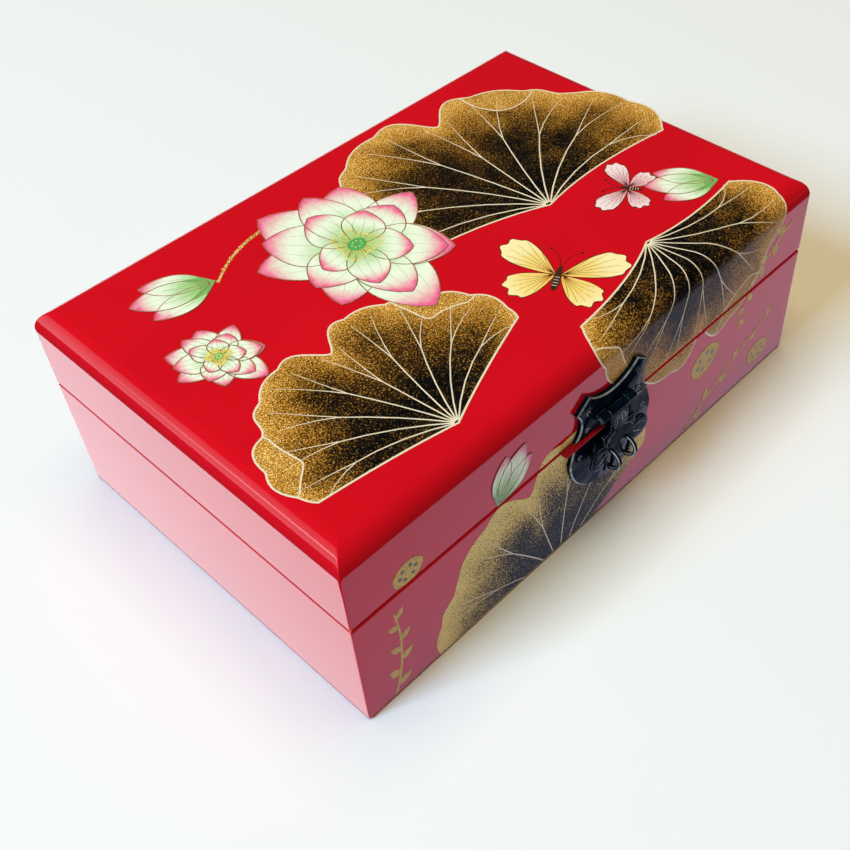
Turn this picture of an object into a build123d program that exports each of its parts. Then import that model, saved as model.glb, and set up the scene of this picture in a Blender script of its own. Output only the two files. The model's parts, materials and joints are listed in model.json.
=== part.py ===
from build123d import *
import os

os.makedirs("parts", exist_ok=True)

# Lacquered jewelry box with a hinged lid, a hasp with a hinged tongue and a lift-out tray.
# The origin is the centre of the underside, +Z is up, and the hasp is on the -Y side.

# Driving dimensions of the case, in millimetres
box_width = 250.0
box_depth = 165.0
base_height = 54.7
joint_gap = 0.6
lid_height = 34.7
board = 8.0
edge_radius = 8.4
top_board = 9.0
arris = 0.35
felt_thickness = 0.8
felt_inset = 3.0
bottom_board = 5.0

# Linings and the ledges that carry the tray
velvet = 1.2
lining_gap = 0.2
lining_drop = 2.0
ledge_width = 5.0
ledge_height = 24.0

# Mirror and its frame under the lid
mirror_border_x = 10.0
mirror_border_y = 9.5
mirror_thickness = 3.0
mirror_bevel = 0.8
frame_width = 9.0
frame_lip = 2.0
frame_cover = 1.5
frame_round = 1.0

# Lift-out tray
tray_gap = 0.7
tray_height = 20.0
tray_wall = 3.0
tray_floor_thickness = 2.5
divider = 2.5
divider_drop = 2.0
long_divider_y = 12.0
ring_divider_x = -8.0
square_divider_x = 52.0
rear_divider_x = 30.0
roll_count = 6
roll_gap = 0.5
roll_height = 15.0
roll_draw = 0.5
pull_width = 14.0
pull_thickness = 0.7
pull_length = 20.0
pull_stand = 5.0

# Sheet metal of the hasp and of the two rear hinges
sheet = 1.2
pin_running = 0.05
pin_seat = 0.02
side_gap = 0.15

# Hasp: both plates are pressed up from the wood by the same height
plate_stand = 2.0
plate_bevel = 0.5

# Hasp: upper plate, on the lid
plate_foot = 0.3
plate_foot_half = 20.5
plate_waist_half = 17.3
plate_waist_rise = 6.3
plate_ear_half = 19.9
plate_ear_rise = 13.4
plate_tip_half = 13.3
plate_tip_rise = 18.6
plate_hollow_rise = 13.2
upper_nail_half = 14.2
upper_nail_rises = (2.9, 11.4)

# Hasp: lower plate, on the base
shield_head = 0.3
shield_top_half = 20.5
shield_half = 23.0
shield_wide_drop = 8.5
shield_drop = 30.5
shield_arc_half = 16.6
shield_arc_drop = 24.0
lower_nail_half = 18.0
lower_nail_drop = 8.0

# Hasp: knuckles, pin and tongue
hasp_rise = 5.0
hasp_barrel = 1.55
hasp_pin = 0.7
hasp_knuckle = 4.4
barrel_gap = 0.3
neck_half = 4.85
shoulder_half = 8.9
shoulder_drop = 8.8
shoulder_height = 3.6
lobe_offset = 11.0
lobe_drop = 17.5
lobe_radius = 5.2
waist_half = 9.0
waist_radius = 8.0
tail_radius = 2.9
tail_rim = 1.2
tongue_bulge = 0.9

# Hasp: half-round loops for a padlock, on the lower plate, and the tongue's slots over them
loop_offset = 4.6
loop_drop = 22.3
loop_radius = 5.2
loop_band = 1.3
loop_width = 1.8
loop_stand = 3.4
loop_leg = 4.0
loop_fit = 0.04
slot_side_gap = 0.4
slot_end_gap = 0.6

# Red slip caught in the joint beside the tongue
slip_thickness = 0.5
slip_left = 27.0
slip_right = 5.5
slip_reach = 3.4
slip_tail = 6.0

# Rear hinges
hinge_inset = 45.0
hinge_span = 26.0
hinge_knuckle = 7.8
hinge_barrel = 2.2
hinge_pin = 0.9
hinge_leaf = 14.0
hinge_clear = 0.3
screw_half = 8.5
screw_drop = 9.5

# Fasteners
nail_head = 1.1
nail_head_height = 0.4
nail_shank = 1.1
nail_length = 5.0
screw_head = 2.0
screw_head_height = 0.8
screw_shank = 1.0
screw_length = 6.0
nail_fit = 0.04
fastener_fit = 0.02
pin_head = 0.5
pin_head_height = 0.6

# Places worked out from the driving dimensions
half_width = box_width / 2
half_depth = box_depth / 2
inner_x = half_width - board
inner_y = half_depth - board
joint_z = base_height + joint_gap / 2
lid_bottom = base_height + joint_gap
box_top = lid_bottom + lid_height
rail_top = box_top - top_board
floor_top = felt_thickness + bottom_board
well_floor = floor_top + velvet
lining_top = base_height - lining_drop
lined_x = inner_x - velvet
lined_y = inner_y - velvet
ledge_top = well_floor + ledge_height
tray_x = lined_x - tray_gap
tray_y = lined_y - tray_gap
tray_in_x = tray_x - tray_wall
tray_in_y = tray_y - tray_wall
tray_floor_top = ledge_top + tray_floor_thickness
tray_top = ledge_top + tray_height
divider_top = tray_top - divider_drop
mirror_width = 2 * (inner_x - mirror_border_x - frame_width)
mirror_depth = 2 * (inner_y - mirror_border_y - frame_width)
mirror_top = rail_top - velvet
mirror_bottom = mirror_top - mirror_thickness
frame_bottom = mirror_bottom - frame_cover
hinge_offset = half_width - hinge_inset
hinge_y = half_depth + hinge_clear + hinge_barrel
hasp_z = lid_bottom + hasp_rise
hasp_out = plate_stand + barrel_gap + hasp_barrel
hasp_y = -half_depth - hasp_out
loop_z = hasp_z - loop_drop

# Planes of the front and rear faces, both facing outwards
front_face = Plane.XZ.offset(half_depth)
rear_face = Plane(origin=(0, half_depth, 0), x_dir=(-1, 0, 0), z_dir=(0, 1, 0))

upper_nails = [
    (side * upper_nail_half, lid_bottom + rise) for side in (-1, 1) for rise in upper_nail_rises
]
lower_nails = [(side * lower_nail_half, base_height - lower_nail_drop) for side in (-1, 1)]
loop_legs = [
    (side * loop_offset, loop_z + end * (loop_radius - loop_band / 2)) for side in (-1, 1) for end in (-1, 1)
]
hinge_centres = (-hinge_offset, hinge_offset)
screw_xs = [centre + side * screw_half for centre in hinge_centres for side in (-1, 1)]
base_screws = [(x, joint_z - screw_drop) for x in screw_xs]
lid_screws = [(x, joint_z + screw_drop) for x in screw_xs]


# Corners of a mitred board, seen from above, whose outer face is on the side named
def mitred_corners(side):
    if side in ("front", "rear"):
        y_out = -half_depth if side == "front" else half_depth
        y_in = -inner_y if side == "front" else inner_y
        return [(-half_width, y_out), (half_width, y_out), (inner_x, y_in), (-inner_x, y_in)]
    x_out = -half_width if side == "left" else half_width
    x_in = -inner_x if side == "left" else inner_x
    return [(x_out, -half_depth), (x_out, half_depth), (x_in, inner_y), (x_in, -inner_y)]


# The edge of a board that lies furthest out on the side named, among the edges given
def outer_edge(edges, side):
    axis = Axis.Y if side in ("front", "rear") else Axis.X
    ordered = edges.sort_by(axis)
    return ordered[0] if side in ("front", "left") else ordered[-1]


# Base walls: four mitred boards, with pilot holes where nails and screws enter
for side in ("front", "rear", "left", "right"):
    with BuildPart() as base_wall:
        with BuildSketch(Plane.XY.offset(felt_thickness)):
            with BuildLine():
                Polyline(*mitred_corners(side), close=True)
            make_face()
        extrude(amount=base_height - felt_thickness)
        chamfer(outer_edge(base_wall.edges().group_by(Axis.Z)[-1], side), arris)
        if side == "front":
            with BuildSketch(front_face):
                with Locations(*lower_nails):
                    Rectangle(nail_shank + nail_fit, nail_shank + nail_fit)
            extrude(amount=-nail_length, mode=Mode.SUBTRACT)
            with BuildSketch(front_face):
                with Locations(*loop_legs):
                    Rectangle(loop_width + loop_fit, loop_band + loop_fit)
            extrude(amount=-loop_leg, mode=Mode.SUBTRACT)
        if side == "rear":
            with BuildSketch(rear_face):
                with Locations(*base_screws):
                    Circle(screw_shank + fastener_fit)
            extrude(amount=-screw_length, mode=Mode.SUBTRACT)
    base_wall.part.label = f"base_{side}_wall"
    export_step(base_wall.part, f"parts/base_{side}_wall.step")

# Bottom board, let in between the walls
with BuildPart() as base_bottom_panel:
    with BuildSketch(Plane.XY.offset(felt_thickness)):
        Rectangle(2 * inner_x, 2 * inner_y)
    extrude(amount=bottom_board)
base_bottom_panel.part.label = "base_bottom_panel"
export_step(base_bottom_panel.part, "parts/base_bottom_panel.step")

# Felt sheet that the box stands on
with BuildPart() as base_felt:
    with BuildSketch():
        RectangleRounded(box_width - 2 * felt_inset, box_depth - 2 * felt_inset, felt_inset)
    extrude(amount=felt_thickness)
base_felt.part.label = "base_felt"
export_step(base_felt.part, "parts/base_felt.step")

# Velvet on the floor of the well
with BuildPart() as well_floor_lining:
    with BuildSketch(Plane.XY.offset(floor_top)):
        Rectangle(2 * (inner_x - lining_gap), 2 * (inner_y - lining_gap))
    extrude(amount=velvet)
well_floor_lining.part.label = "well_floor_lining"
export_step(well_floor_lining.part, "parts/well_floor_lining.step")

# Velvet on the four walls of the well
for side in ("front", "rear", "left", "right"):
    long_side = side in ("front", "rear")
    sign = -1 if side in ("front", "left") else 1
    with BuildPart() as wall_lining:
        with BuildSketch(Plane.XY.offset(well_floor)):
            if long_side:
                with Locations((0, sign * (inner_y - velvet / 2))):
                    Rectangle(2 * inner_x, velvet)
            else:
                with Locations((sign * (inner_x - velvet / 2), 0)):
                    Rectangle(velvet, 2 * lined_y)
        extrude(amount=lining_top - well_floor)
        inner_edges = wall_lining.edges().group_by(Axis.Z)[-1]
        inward = inner_edges.sort_by(Axis.Y if long_side else Axis.X)[0 if sign > 0 else -1]
        fillet(inward, velvet / 2)
    wall_lining.part.label = f"well_{side}_lining"
    export_step(wall_lining.part, f"parts/well_{side}_lining.step")

# Ledges at the two ends, on which the tray rests
for side, sign in (("left", -1), ("right", 1)):
    with BuildPart() as tray_ledge:
        with BuildSketch(Plane.XY.offset(well_floor)):
            with Locations((sign * (lined_x - ledge_width / 2), 0)):
                Rectangle(ledge_width, 2 * lined_y)
        extrude(amount=ledge_height)
        top_edges = tray_ledge.edges().group_by(Axis.Z)[-1]
        fillet(top_edges.sort_by(Axis.X)[0 if sign > 0 else -1], velvet)
    tray_ledge.part.label = f"tray_ledge_{side}"
    export_step(tray_ledge.part, f"parts/tray_ledge_{side}.step")

# Red slip that lies on the rim of the base and stands out beside the tongue
with BuildPart() as joint_slip:
    with BuildSketch(Plane.XY.offset(base_height)):
        with Locations(((-slip_left - slip_right) / 2, -half_depth + (slip_tail - slip_reach) / 2)):
            Rectangle(slip_left - slip_right, slip_tail + slip_reach)
    extrude(amount=slip_thickness)
joint_slip.part.label = "joint_slip"
export_step(joint_slip.part, "parts/joint_slip.step")

# Lid rails: four mitred boards under the top board
for side in ("front", "rear", "left", "right"):
    with BuildPart() as lid_rail:
        with BuildSketch(Plane.XY.offset(lid_bottom)):
            with BuildLine():
                Polyline(*mitred_corners(side), close=True)
            make_face()
        extrude(amount=rail_top - lid_bottom)
        chamfer(outer_edge(lid_rail.edges().group_by(Axis.Z)[0], side), arris)
        if side == "front":
            with BuildSketch(front_face):
                with Locations(*upper_nails):
                    Rectangle(nail_shank + nail_fit, nail_shank + nail_fit)
            extrude(amount=-nail_length, mode=Mode.SUBTRACT)
        if side == "rear":
            with BuildSketch(rear_face):
                with Locations(*lid_screws):
                    Circle(screw_shank + fastener_fit)
            extrude(amount=-screw_length, mode=Mode.SUBTRACT)
    lid_rail.part.label = f"lid_{side}_rail"
    export_step(lid_rail.part, f"parts/lid_{side}_rail.step")

# Top board, with its four upper edges rounded over and crisp mitres at the corners
with BuildPart() as lid_top_panel:
    with BuildSketch(Plane.XY.offset(rail_top)):
        Rectangle(box_width, box_depth)
    extrude(amount=top_board)
    fillet(lid_top_panel.edges().group_by(Axis.Z)[-1], edge_radius)
lid_top_panel.part.label = "lid_top_panel"
export_step(lid_top_panel.part, "parts/lid_top_panel.step")

# Velvet under the top board
with BuildPart() as lid_lining:
    with BuildSketch(Plane.XY.offset(mirror_top)):
        Rectangle(2 * (inner_x - lining_gap), 2 * (inner_y - lining_gap))
    extrude(amount=velvet)
lid_lining.part.label = "lid_lining"
export_step(lid_lining.part, "parts/lid_lining.step")

# Mirror, bevelled on its lower face
with BuildPart() as mirror_glass:
    with BuildSketch(Plane.XY.offset(mirror_bottom)):
        Rectangle(mirror_width, mirror_depth)
    extrude(amount=mirror_thickness)
    chamfer(mirror_glass.edges().group_by(Axis.Z)[0], mirror_bevel)
mirror_glass.part.label = "mirror"
export_step(mirror_glass.part, "parts/mirror.step")

# Mirror frame: four rebated strips with mitred ends, each drawn in section and cut at 45 degrees
for side in ("front", "rear", "left", "right"):
    long_side = side in ("front", "rear")
    edge = (mirror_depth if long_side else mirror_width) / 2
    reach = (mirror_width if long_side else mirror_depth) / 2 + frame_width
    sign = -1 if side in ("front", "left") else 1
    section = Plane.YZ if long_side else Plane.XZ
    corner_x = sign * (edge + frame_width)
    with BuildPart() as frame_strip:
        with BuildSketch(section):
            with BuildLine():
                Polyline(
                    (sign * edge, mirror_top),
                    (sign * (edge + frame_width), mirror_top),
                    (sign * (edge + frame_width), frame_bottom),
                    (sign * (edge - frame_lip), frame_bottom),
                    (sign * (edge - frame_lip), mirror_bottom),
                    (sign * edge, mirror_bottom),
                    close=True,
                )
            make_face()
        extrude(amount=reach, both=True)
        lower = frame_strip.edges().group_by(Axis.Z)[0].sort_by(Axis.Y if long_side else Axis.X)
        fillet([lower[0], lower[-1]], frame_round)
        for end in (-1, 1):
            if long_side:
                corner = (end * reach, corner_x, 0)
            else:
                corner = (corner_x, end * reach, 0)
            across = (-corner[0] / abs(corner[0]), corner[1] / abs(corner[1]), 0)
            away = across if long_side else (-across[0], -across[1], 0)
            split(bisect_by=Plane(origin=corner, z_dir=away), keep=Keep.TOP)
    frame_strip.part.label = f"mirror_frame_{side}"
    export_step(frame_strip.part, f"parts/mirror_frame_{side}.step")

# Hasp, upper plate: waisted plate with cut ears and a hollow top, and two rolled knuckles
with BuildPart() as clasp_upper_plate:
    foot = lid_bottom + plate_foot
    with BuildSketch(front_face):
        with BuildLine():
            right_foot = (plate_foot_half, foot)
            right_waist = (plate_waist_half, lid_bottom + plate_waist_rise)
            right_ear = (plate_ear_half, lid_bottom + plate_ear_rise)
            right_tip = (plate_tip_half, lid_bottom + plate_tip_rise)
            ThreePointArc(right_foot, right_waist, right_ear)
            Line(right_ear, right_tip)
            ThreePointArc(right_tip, (0, lid_bottom + plate_hollow_rise), (-right_tip[0], right_tip[1]))
            Line((-right_tip[0], right_tip[1]), (-right_ear[0], right_ear[1]))
            ThreePointArc(
                (-right_ear[0], right_ear[1]),
                (-right_waist[0], right_waist[1]),
                (-right_foot[0], right_foot[1]),
            )
            Line((-right_foot[0], right_foot[1]), right_foot)
        make_face()
    extrude(amount=plate_stand)
    chamfer(clasp_upper_plate.faces().sort_by(Axis.Y)[0].edges(), plate_bevel)
    for side in (-1, 1):
        knuckle_x = side * (neck_half + side_gap + hasp_knuckle / 2)
        with Locations((knuckle_x, hasp_y, hasp_z)):
            Cylinder(hasp_barrel, hasp_knuckle, rotation=(0, 90, 0))
        with Locations((knuckle_x, -half_depth - plate_stand / 2, hasp_z)):
            Box(hasp_knuckle, hasp_out - plate_stand / 2, hasp_barrel, align=(Align.CENTER, Align.MAX, Align.MIN))
        with Locations((knuckle_x, hasp_y, hasp_z)):
            Cylinder(hasp_pin + pin_seat, hasp_knuckle, rotation=(0, 90, 0), mode=Mode.SUBTRACT)
    with BuildSketch(front_face):
        with Locations(*upper_nails):
            Rectangle(nail_shank + nail_fit, nail_shank + nail_fit)
    extrude(amount=plate_stand, mode=Mode.SUBTRACT)
clasp_upper_plate.part.label = "clasp_upper_plate"
export_step(clasp_upper_plate.part, "parts/clasp_upper_plate.step")

# Hasp, lower plate: half-round shield on the base
with BuildPart() as clasp_lower_plate:
    shield_top = base_height - shield_head
    with BuildSketch(front_face):
        with BuildLine():
            top_right = (shield_top_half, shield_top)
            wide_right = (shield_half, shield_top - shield_wide_drop)
            round_right = (shield_arc_half, shield_top - shield_arc_drop)
            bottom = (0, shield_top - shield_drop)
            Line((-top_right[0], top_right[1]), top_right)
            Line(top_right, wide_right)
            ThreePointArc(wide_right, round_right, bottom)
            ThreePointArc(bottom, (-round_right[0], round_right[1]), (-wide_right[0], wide_right[1]))
            Line((-wide_right[0], wide_right[1]), (-top_right[0], top_right[1]))
        make_face()
    extrude(amount=plate_stand)
    chamfer(clasp_lower_plate.faces().sort_by(Axis.Y)[0].edges(), plate_bevel)
    with BuildSketch(front_face):
        with Locations(*lower_nails):
            Rectangle(nail_shank + nail_fit, nail_shank + nail_fit)
        with Locations(*loop_legs):
            Rectangle(loop_width + loop_fit, loop_band + loop_fit)
    extrude(amount=plate_stand, mode=Mode.SUBTRACT)
clasp_lower_plate.part.label = "clasp_lower_plate"
export_step(clasp_lower_plate.part, "parts/clasp_lower_plate.step")

# Hasp, tongue: bulged sheet drawn in side view and cut to its outline seen from the front
with BuildPart() as clasp_tongue:
    sheet_y = hasp_y - hasp_barrel + sheet / 2
    shoulder_z = hasp_z - shoulder_drop
    lobe_z = hasp_z - lobe_drop
    slot_half = loop_radius + slot_end_gap
    tongue_foot = loop_z - slot_half - tail_rim
    with BuildSketch(Plane.YZ):
        with BuildLine() as side_view:
            Line((sheet_y, hasp_z), (sheet_y, shoulder_z))
            ThreePointArc(
                (sheet_y, shoulder_z),
                (sheet_y - tongue_bulge, (shoulder_z + tongue_foot) / 2),
                (sheet_y, tongue_foot),
            )
        trace(line_width=sheet)
    extrude(amount=lobe_offset + lobe_radius, both=True)
    with BuildSketch(Plane.XZ.offset(-hasp_y)):
        with Locations((0, hasp_z)):
            Rectangle(2 * neck_half, shoulder_drop, align=(Align.CENTER, Align.MAX))
        with Locations((0, shoulder_z)):
            Rectangle(2 * shoulder_half, shoulder_height, align=(Align.CENTER, Align.MAX))
        with Locations((0, lobe_z)):
            Ellipse(waist_half, waist_radius)
        with Locations((-lobe_offset, lobe_z), (lobe_offset, lobe_z)):
            Circle(lobe_radius)
        for side in (-1, 1):
            with Locations((side * loop_offset, tongue_foot + tail_radius)):
                Circle(tail_radius)
                Rectangle(2 * tail_radius, loop_radius, align=(Align.CENTER, Align.MIN))
        with Locations((-loop_offset, loop_z), (loop_offset, loop_z)):
            Rectangle(loop_width + 2 * slot_side_gap, 2 * slot_half, mode=Mode.SUBTRACT)
    extrude(amount=tongue_bulge + hasp_barrel + sheet, both=True, mode=Mode.INTERSECT)
    with Locations((0, hasp_y, hasp_z)):
        Cylinder(hasp_barrel, 2 * neck_half, rotation=(0, 90, 0))
        Cylinder(hasp_pin + pin_running, 2 * neck_half, rotation=(0, 90, 0), mode=Mode.SUBTRACT)
clasp_tongue.part.label = "clasp_tongue"
export_step(clasp_tongue.part, "parts/clasp_tongue.step")

# Pin through the three knuckles of the hasp, peened over at both ends
with BuildPart() as clasp_pin:
    hasp_reach = neck_half + side_gap + hasp_knuckle
    with Locations((0, hasp_y, hasp_z)):
        Cylinder(hasp_pin, 2 * hasp_reach, rotation=(0, 90, 0))
    for side in (-1, 1):
        with Locations((side * (hasp_reach + pin_head_height / 2), hasp_y, hasp_z)):
            Cylinder(hasp_pin + pin_head, pin_head_height, rotation=(0, 90, 0))
    chamfer([clasp_pin.edges().sort_by(Axis.X)[0], clasp_pin.edges().sort_by(Axis.X)[-1]], pin_head / 2)
clasp_pin.part.label = "clasp_pin"
export_step(clasp_pin.part, "parts/clasp_pin.step")

# Round-headed nails of the two plates
for label, places in (("clasp_upper_nails", upper_nails), ("clasp_lower_nails", lower_nails)):
    with BuildPart() as nails:
        with BuildSketch(front_face.offset(plate_stand)):
            with Locations(*places):
                Rectangle(nail_shank, nail_shank)
        extrude(amount=-nail_length - plate_stand)
        with BuildSketch(front_face.offset(plate_stand)):
            with Locations(*places):
                Circle(nail_head)
        extrude(amount=nail_head_height)
        chamfer(nails.edges().group_by(Axis.Y)[0], nail_head_height / 2)
    nails.part.label = label
    export_step(nails.part, f"parts/{label}.step")

# Padlock loops: two half rings that stand out through the tongue's slots, with legs through the plate
with BuildPart() as clasp_loops:
    loop_y = -half_depth - plate_stand - loop_stand
    leg_end = -half_depth + loop_leg
    for side in (-1, 1):
        with BuildSketch(Plane.YZ.offset(side * loop_offset)):
            with Locations((loop_y, loop_z)):
                Circle(loop_radius)
                Rectangle(leg_end - loop_y, 2 * loop_radius, align=(Align.MIN, Align.CENTER))
                Circle(loop_radius - loop_band, mode=Mode.SUBTRACT)
                Rectangle(leg_end - loop_y, 2 * (loop_radius - loop_band), align=(Align.MIN, Align.CENTER),
                          mode=Mode.SUBTRACT)
        extrude(amount=loop_width / 2, both=True)
clasp_loops.part.label = "clasp_loops"
export_step(clasp_loops.part, "parts/clasp_loops.step")

# Rear hinges: on each, the base leaf has the outer knuckles and the lid leaf the middle one
middle_knuckle = hinge_span - 2 * hinge_knuckle - 2 * side_gap
for side, centre in (("left", -hinge_offset), ("right", hinge_offset)):
    outer_offset = (hinge_span - hinge_knuckle) / 2
    leaves = (
        ("base", -1, base_screws, [(centre - outer_offset, hinge_knuckle), (centre + outer_offset, hinge_knuckle)]),
        ("lid", 1, lid_screws, [(centre, middle_knuckle)]),
    )
    for owner, up, screws, knuckles in leaves:
        near = hinge_barrel + hinge_clear
        with BuildPart() as hinge_leaf_part:
            with BuildSketch(rear_face):
                with Locations((-centre, joint_z + up * (near + hinge_leaf) / 2)):
                    Rectangle(hinge_span, hinge_leaf - near)
                for x, length in knuckles:
                    with Locations((-x, joint_z + up * (near + 1) / 2)):
                        Rectangle(length, near + 1)
            extrude(amount=sheet)
            for x, length in knuckles:
                with Locations((x, hinge_y, joint_z)):
                    Cylinder(hinge_barrel, length, rotation=(0, 90, 0))
            with Locations((centre, hinge_y, joint_z)):
                fit = pin_seat if owner == "base" else pin_running
                Cylinder(hinge_pin + fit, hinge_span, rotation=(0, 90, 0), mode=Mode.SUBTRACT)
            with BuildSketch(rear_face):
                with Locations(*[(-x, z) for x, z in screws]):
                    Circle(screw_shank + fastener_fit)
            extrude(amount=sheet, mode=Mode.SUBTRACT)
        hinge_leaf_part.part.label = f"hinge_{side}_{owner}_leaf"
        export_step(hinge_leaf_part.part, f"parts/hinge_{side}_{owner}_leaf.step")
    with BuildPart() as pin:
        with Locations((centre, hinge_y, joint_z)):
            Cylinder(hinge_pin, hinge_span, rotation=(0, 90, 0))
        for end in (-1, 1):
            with Locations((centre + end * (hinge_span + pin_head_height) / 2, hinge_y, joint_z)):
                Cylinder(hinge_pin + pin_head, pin_head_height, rotation=(0, 90, 0))
        chamfer([pin.edges().sort_by(Axis.X)[0], pin.edges().sort_by(Axis.X)[-1]], pin_head / 2)
    pin.part.label = f"hinge_{side}_pin"
    export_step(pin.part, f"parts/hinge_{side}_pin.step")

# Round-headed screws of the hinge leaves
for label, places in (("hinge_base_screws", base_screws), ("hinge_lid_screws", lid_screws)):
    with BuildPart() as screws:
        with BuildSketch(rear_face.offset(sheet)):
            with Locations(*places):
                Circle(screw_shank)
        extrude(amount=-screw_length - sheet)
        with BuildSketch(rear_face.offset(sheet)):
            with Locations(*places):
                Circle(screw_head)
        extrude(amount=screw_head_height)
        chamfer(screws.edges().group_by(Axis.Y)[-1], screw_head_height / 2)
    screws.part.label = label
    export_step(screws.part, f"parts/{label}.step")

# Lift-out tray: long front and rear walls with the end walls between them
for side in ("front", "rear", "left", "right"):
    long_side = side in ("front", "rear")
    sign = -1 if side in ("front", "left") else 1
    with BuildPart() as tray_side:
        with BuildSketch(Plane.XY.offset(ledge_top)):
            if long_side:
                with Locations((0, sign * (tray_y - tray_wall / 2))):
                    Rectangle(2 * tray_x, tray_wall)
            else:
                with Locations((sign * (tray_x - tray_wall / 2), 0)):
                    Rectangle(tray_wall, 2 * tray_in_y)
        extrude(amount=tray_height)
        run = Axis.X if long_side else Axis.Y
        fillet(tray_side.edges().group_by(Axis.Z)[-1].filter_by(run), tray_wall * 0.3)
    tray_side.part.label = f"tray_{side}_wall"
    export_step(tray_side.part, f"parts/tray_{side}_wall.step")

with BuildPart() as tray_floor:
    with BuildSketch(Plane.XY.offset(ledge_top)):
        Rectangle(2 * tray_in_x, 2 * tray_in_y)
    extrude(amount=tray_floor_thickness)
tray_floor.part.label = "tray_floor"
export_step(tray_floor.part, "parts/tray_floor.step")

# Dividers of the tray: one along it, and three across
front_run = long_divider_y - divider / 2 + tray_in_y
rear_run = tray_in_y - long_divider_y - divider / 2
across = (
    ("tray_ring_divider", ring_divider_x, -tray_in_y + front_run / 2, front_run),
    ("tray_square_divider", square_divider_x, -tray_in_y + front_run / 2, front_run),
    ("tray_rear_divider", rear_divider_x, tray_in_y - rear_run / 2, rear_run),
)
with BuildPart() as tray_long_divider:
    with BuildSketch(Plane.XY.offset(tray_floor_top)):
        with Locations((0, long_divider_y)):
            Rectangle(2 * tray_in_x, divider)
    extrude(amount=divider_top - tray_floor_top)
    fillet(tray_long_divider.edges().group_by(Axis.Z)[-1].filter_by(Axis.X), divider * 0.3)
tray_long_divider.part.label = "tray_long_divider"
export_step(tray_long_divider.part, "parts/tray_long_divider.step")
for label, x, y, run in across:
    with BuildPart() as cross_divider:
        with BuildSketch(Plane.XY.offset(tray_floor_top)):
            with Locations((x, y)):
                Rectangle(divider, run)
        extrude(amount=divider_top - tray_floor_top)
        fillet(cross_divider.edges().group_by(Axis.Z)[-1].filter_by(Axis.Y), divider * 0.3)
    cross_divider.part.label = label
    export_step(cross_divider.part, f"parts/{label}.step")

# Ring rolls: foam bars with a crowned top and sides drawn in towards the floor
roll_pitch = front_run / roll_count
roll_half = (roll_pitch - roll_gap) / 2
roll_length = ring_divider_x - divider / 2 + tray_in_x - 2 * roll_gap
roll_left = -tray_in_x + roll_gap
for index in range(roll_count):
    roll_y = -tray_in_y + roll_pitch * (index + 0.5)
    shoulder_top = tray_floor_top + roll_height - roll_half
    with BuildPart() as ring_roll:
        with BuildSketch(Plane.YZ.offset(roll_left)):
            with BuildLine():
                left_foot = (roll_y - roll_half + roll_draw, tray_floor_top)
                right_foot = (roll_y + roll_half - roll_draw, tray_floor_top)
                left_side = (roll_y - roll_half, shoulder_top)
                right_side = (roll_y + roll_half, shoulder_top)
                Line(left_foot, right_foot)
                Line(right_foot, right_side)
                ThreePointArc(right_side, (roll_y, tray_floor_top + roll_height), left_side)
                Line(left_side, left_foot)
            make_face()
        extrude(amount=roll_length)
        ends = ring_roll.faces().sort_by(Axis.X)
        rounded = [ends[0].edges().sort_by(Axis.Z)[-1], ends[-1].edges().sort_by(Axis.Z)[-1]]
        chamfer(rounded, roll_gap)
    ring_roll.part.label = f"ring_roll_{index + 1}"
    export_step(ring_roll.part, f"parts/ring_roll_{index + 1}.step")

# Ribbon pulls at the two ends of the tray, glued to the inside of the end walls
for side, sign in (("left", -1), ("right", 1)):
    with BuildPart() as tray_pull:
        with BuildSketch(Plane.YZ.offset(sign * (tray_in_x - pull_thickness / 2))):
            with Locations((long_divider_y + divider / 2 + pull_width, tray_top + pull_stand)):
                Rectangle(pull_width, pull_length, align=(Align.CENTER, Align.MAX))
        extrude(amount=pull_thickness / 2, both=True)
    tray_pull.part.label = f"tray_pull_{side}"
    export_step(tray_pull.part, f"parts/tray_pull_{side}.step")

print("hasp axis", round(hasp_y, 3), round(hasp_z, 3), "hinge axis", round(hinge_y, 3), round(joint_z, 3))
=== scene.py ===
"""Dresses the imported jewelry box: lacquer, painted leaves and blossoms, hasp, velvet and studio."""

import json
import logging
import math
from dataclasses import dataclass, field
from enum import Enum
from typing import Any, Callable, Protocol, Sequence

import bmesh
import bpy
from mathutils import Matrix, Vector
from mathutils.bvhtree import BVHTree
from mathutils.geometry import delaunay_2d_cdt


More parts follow.
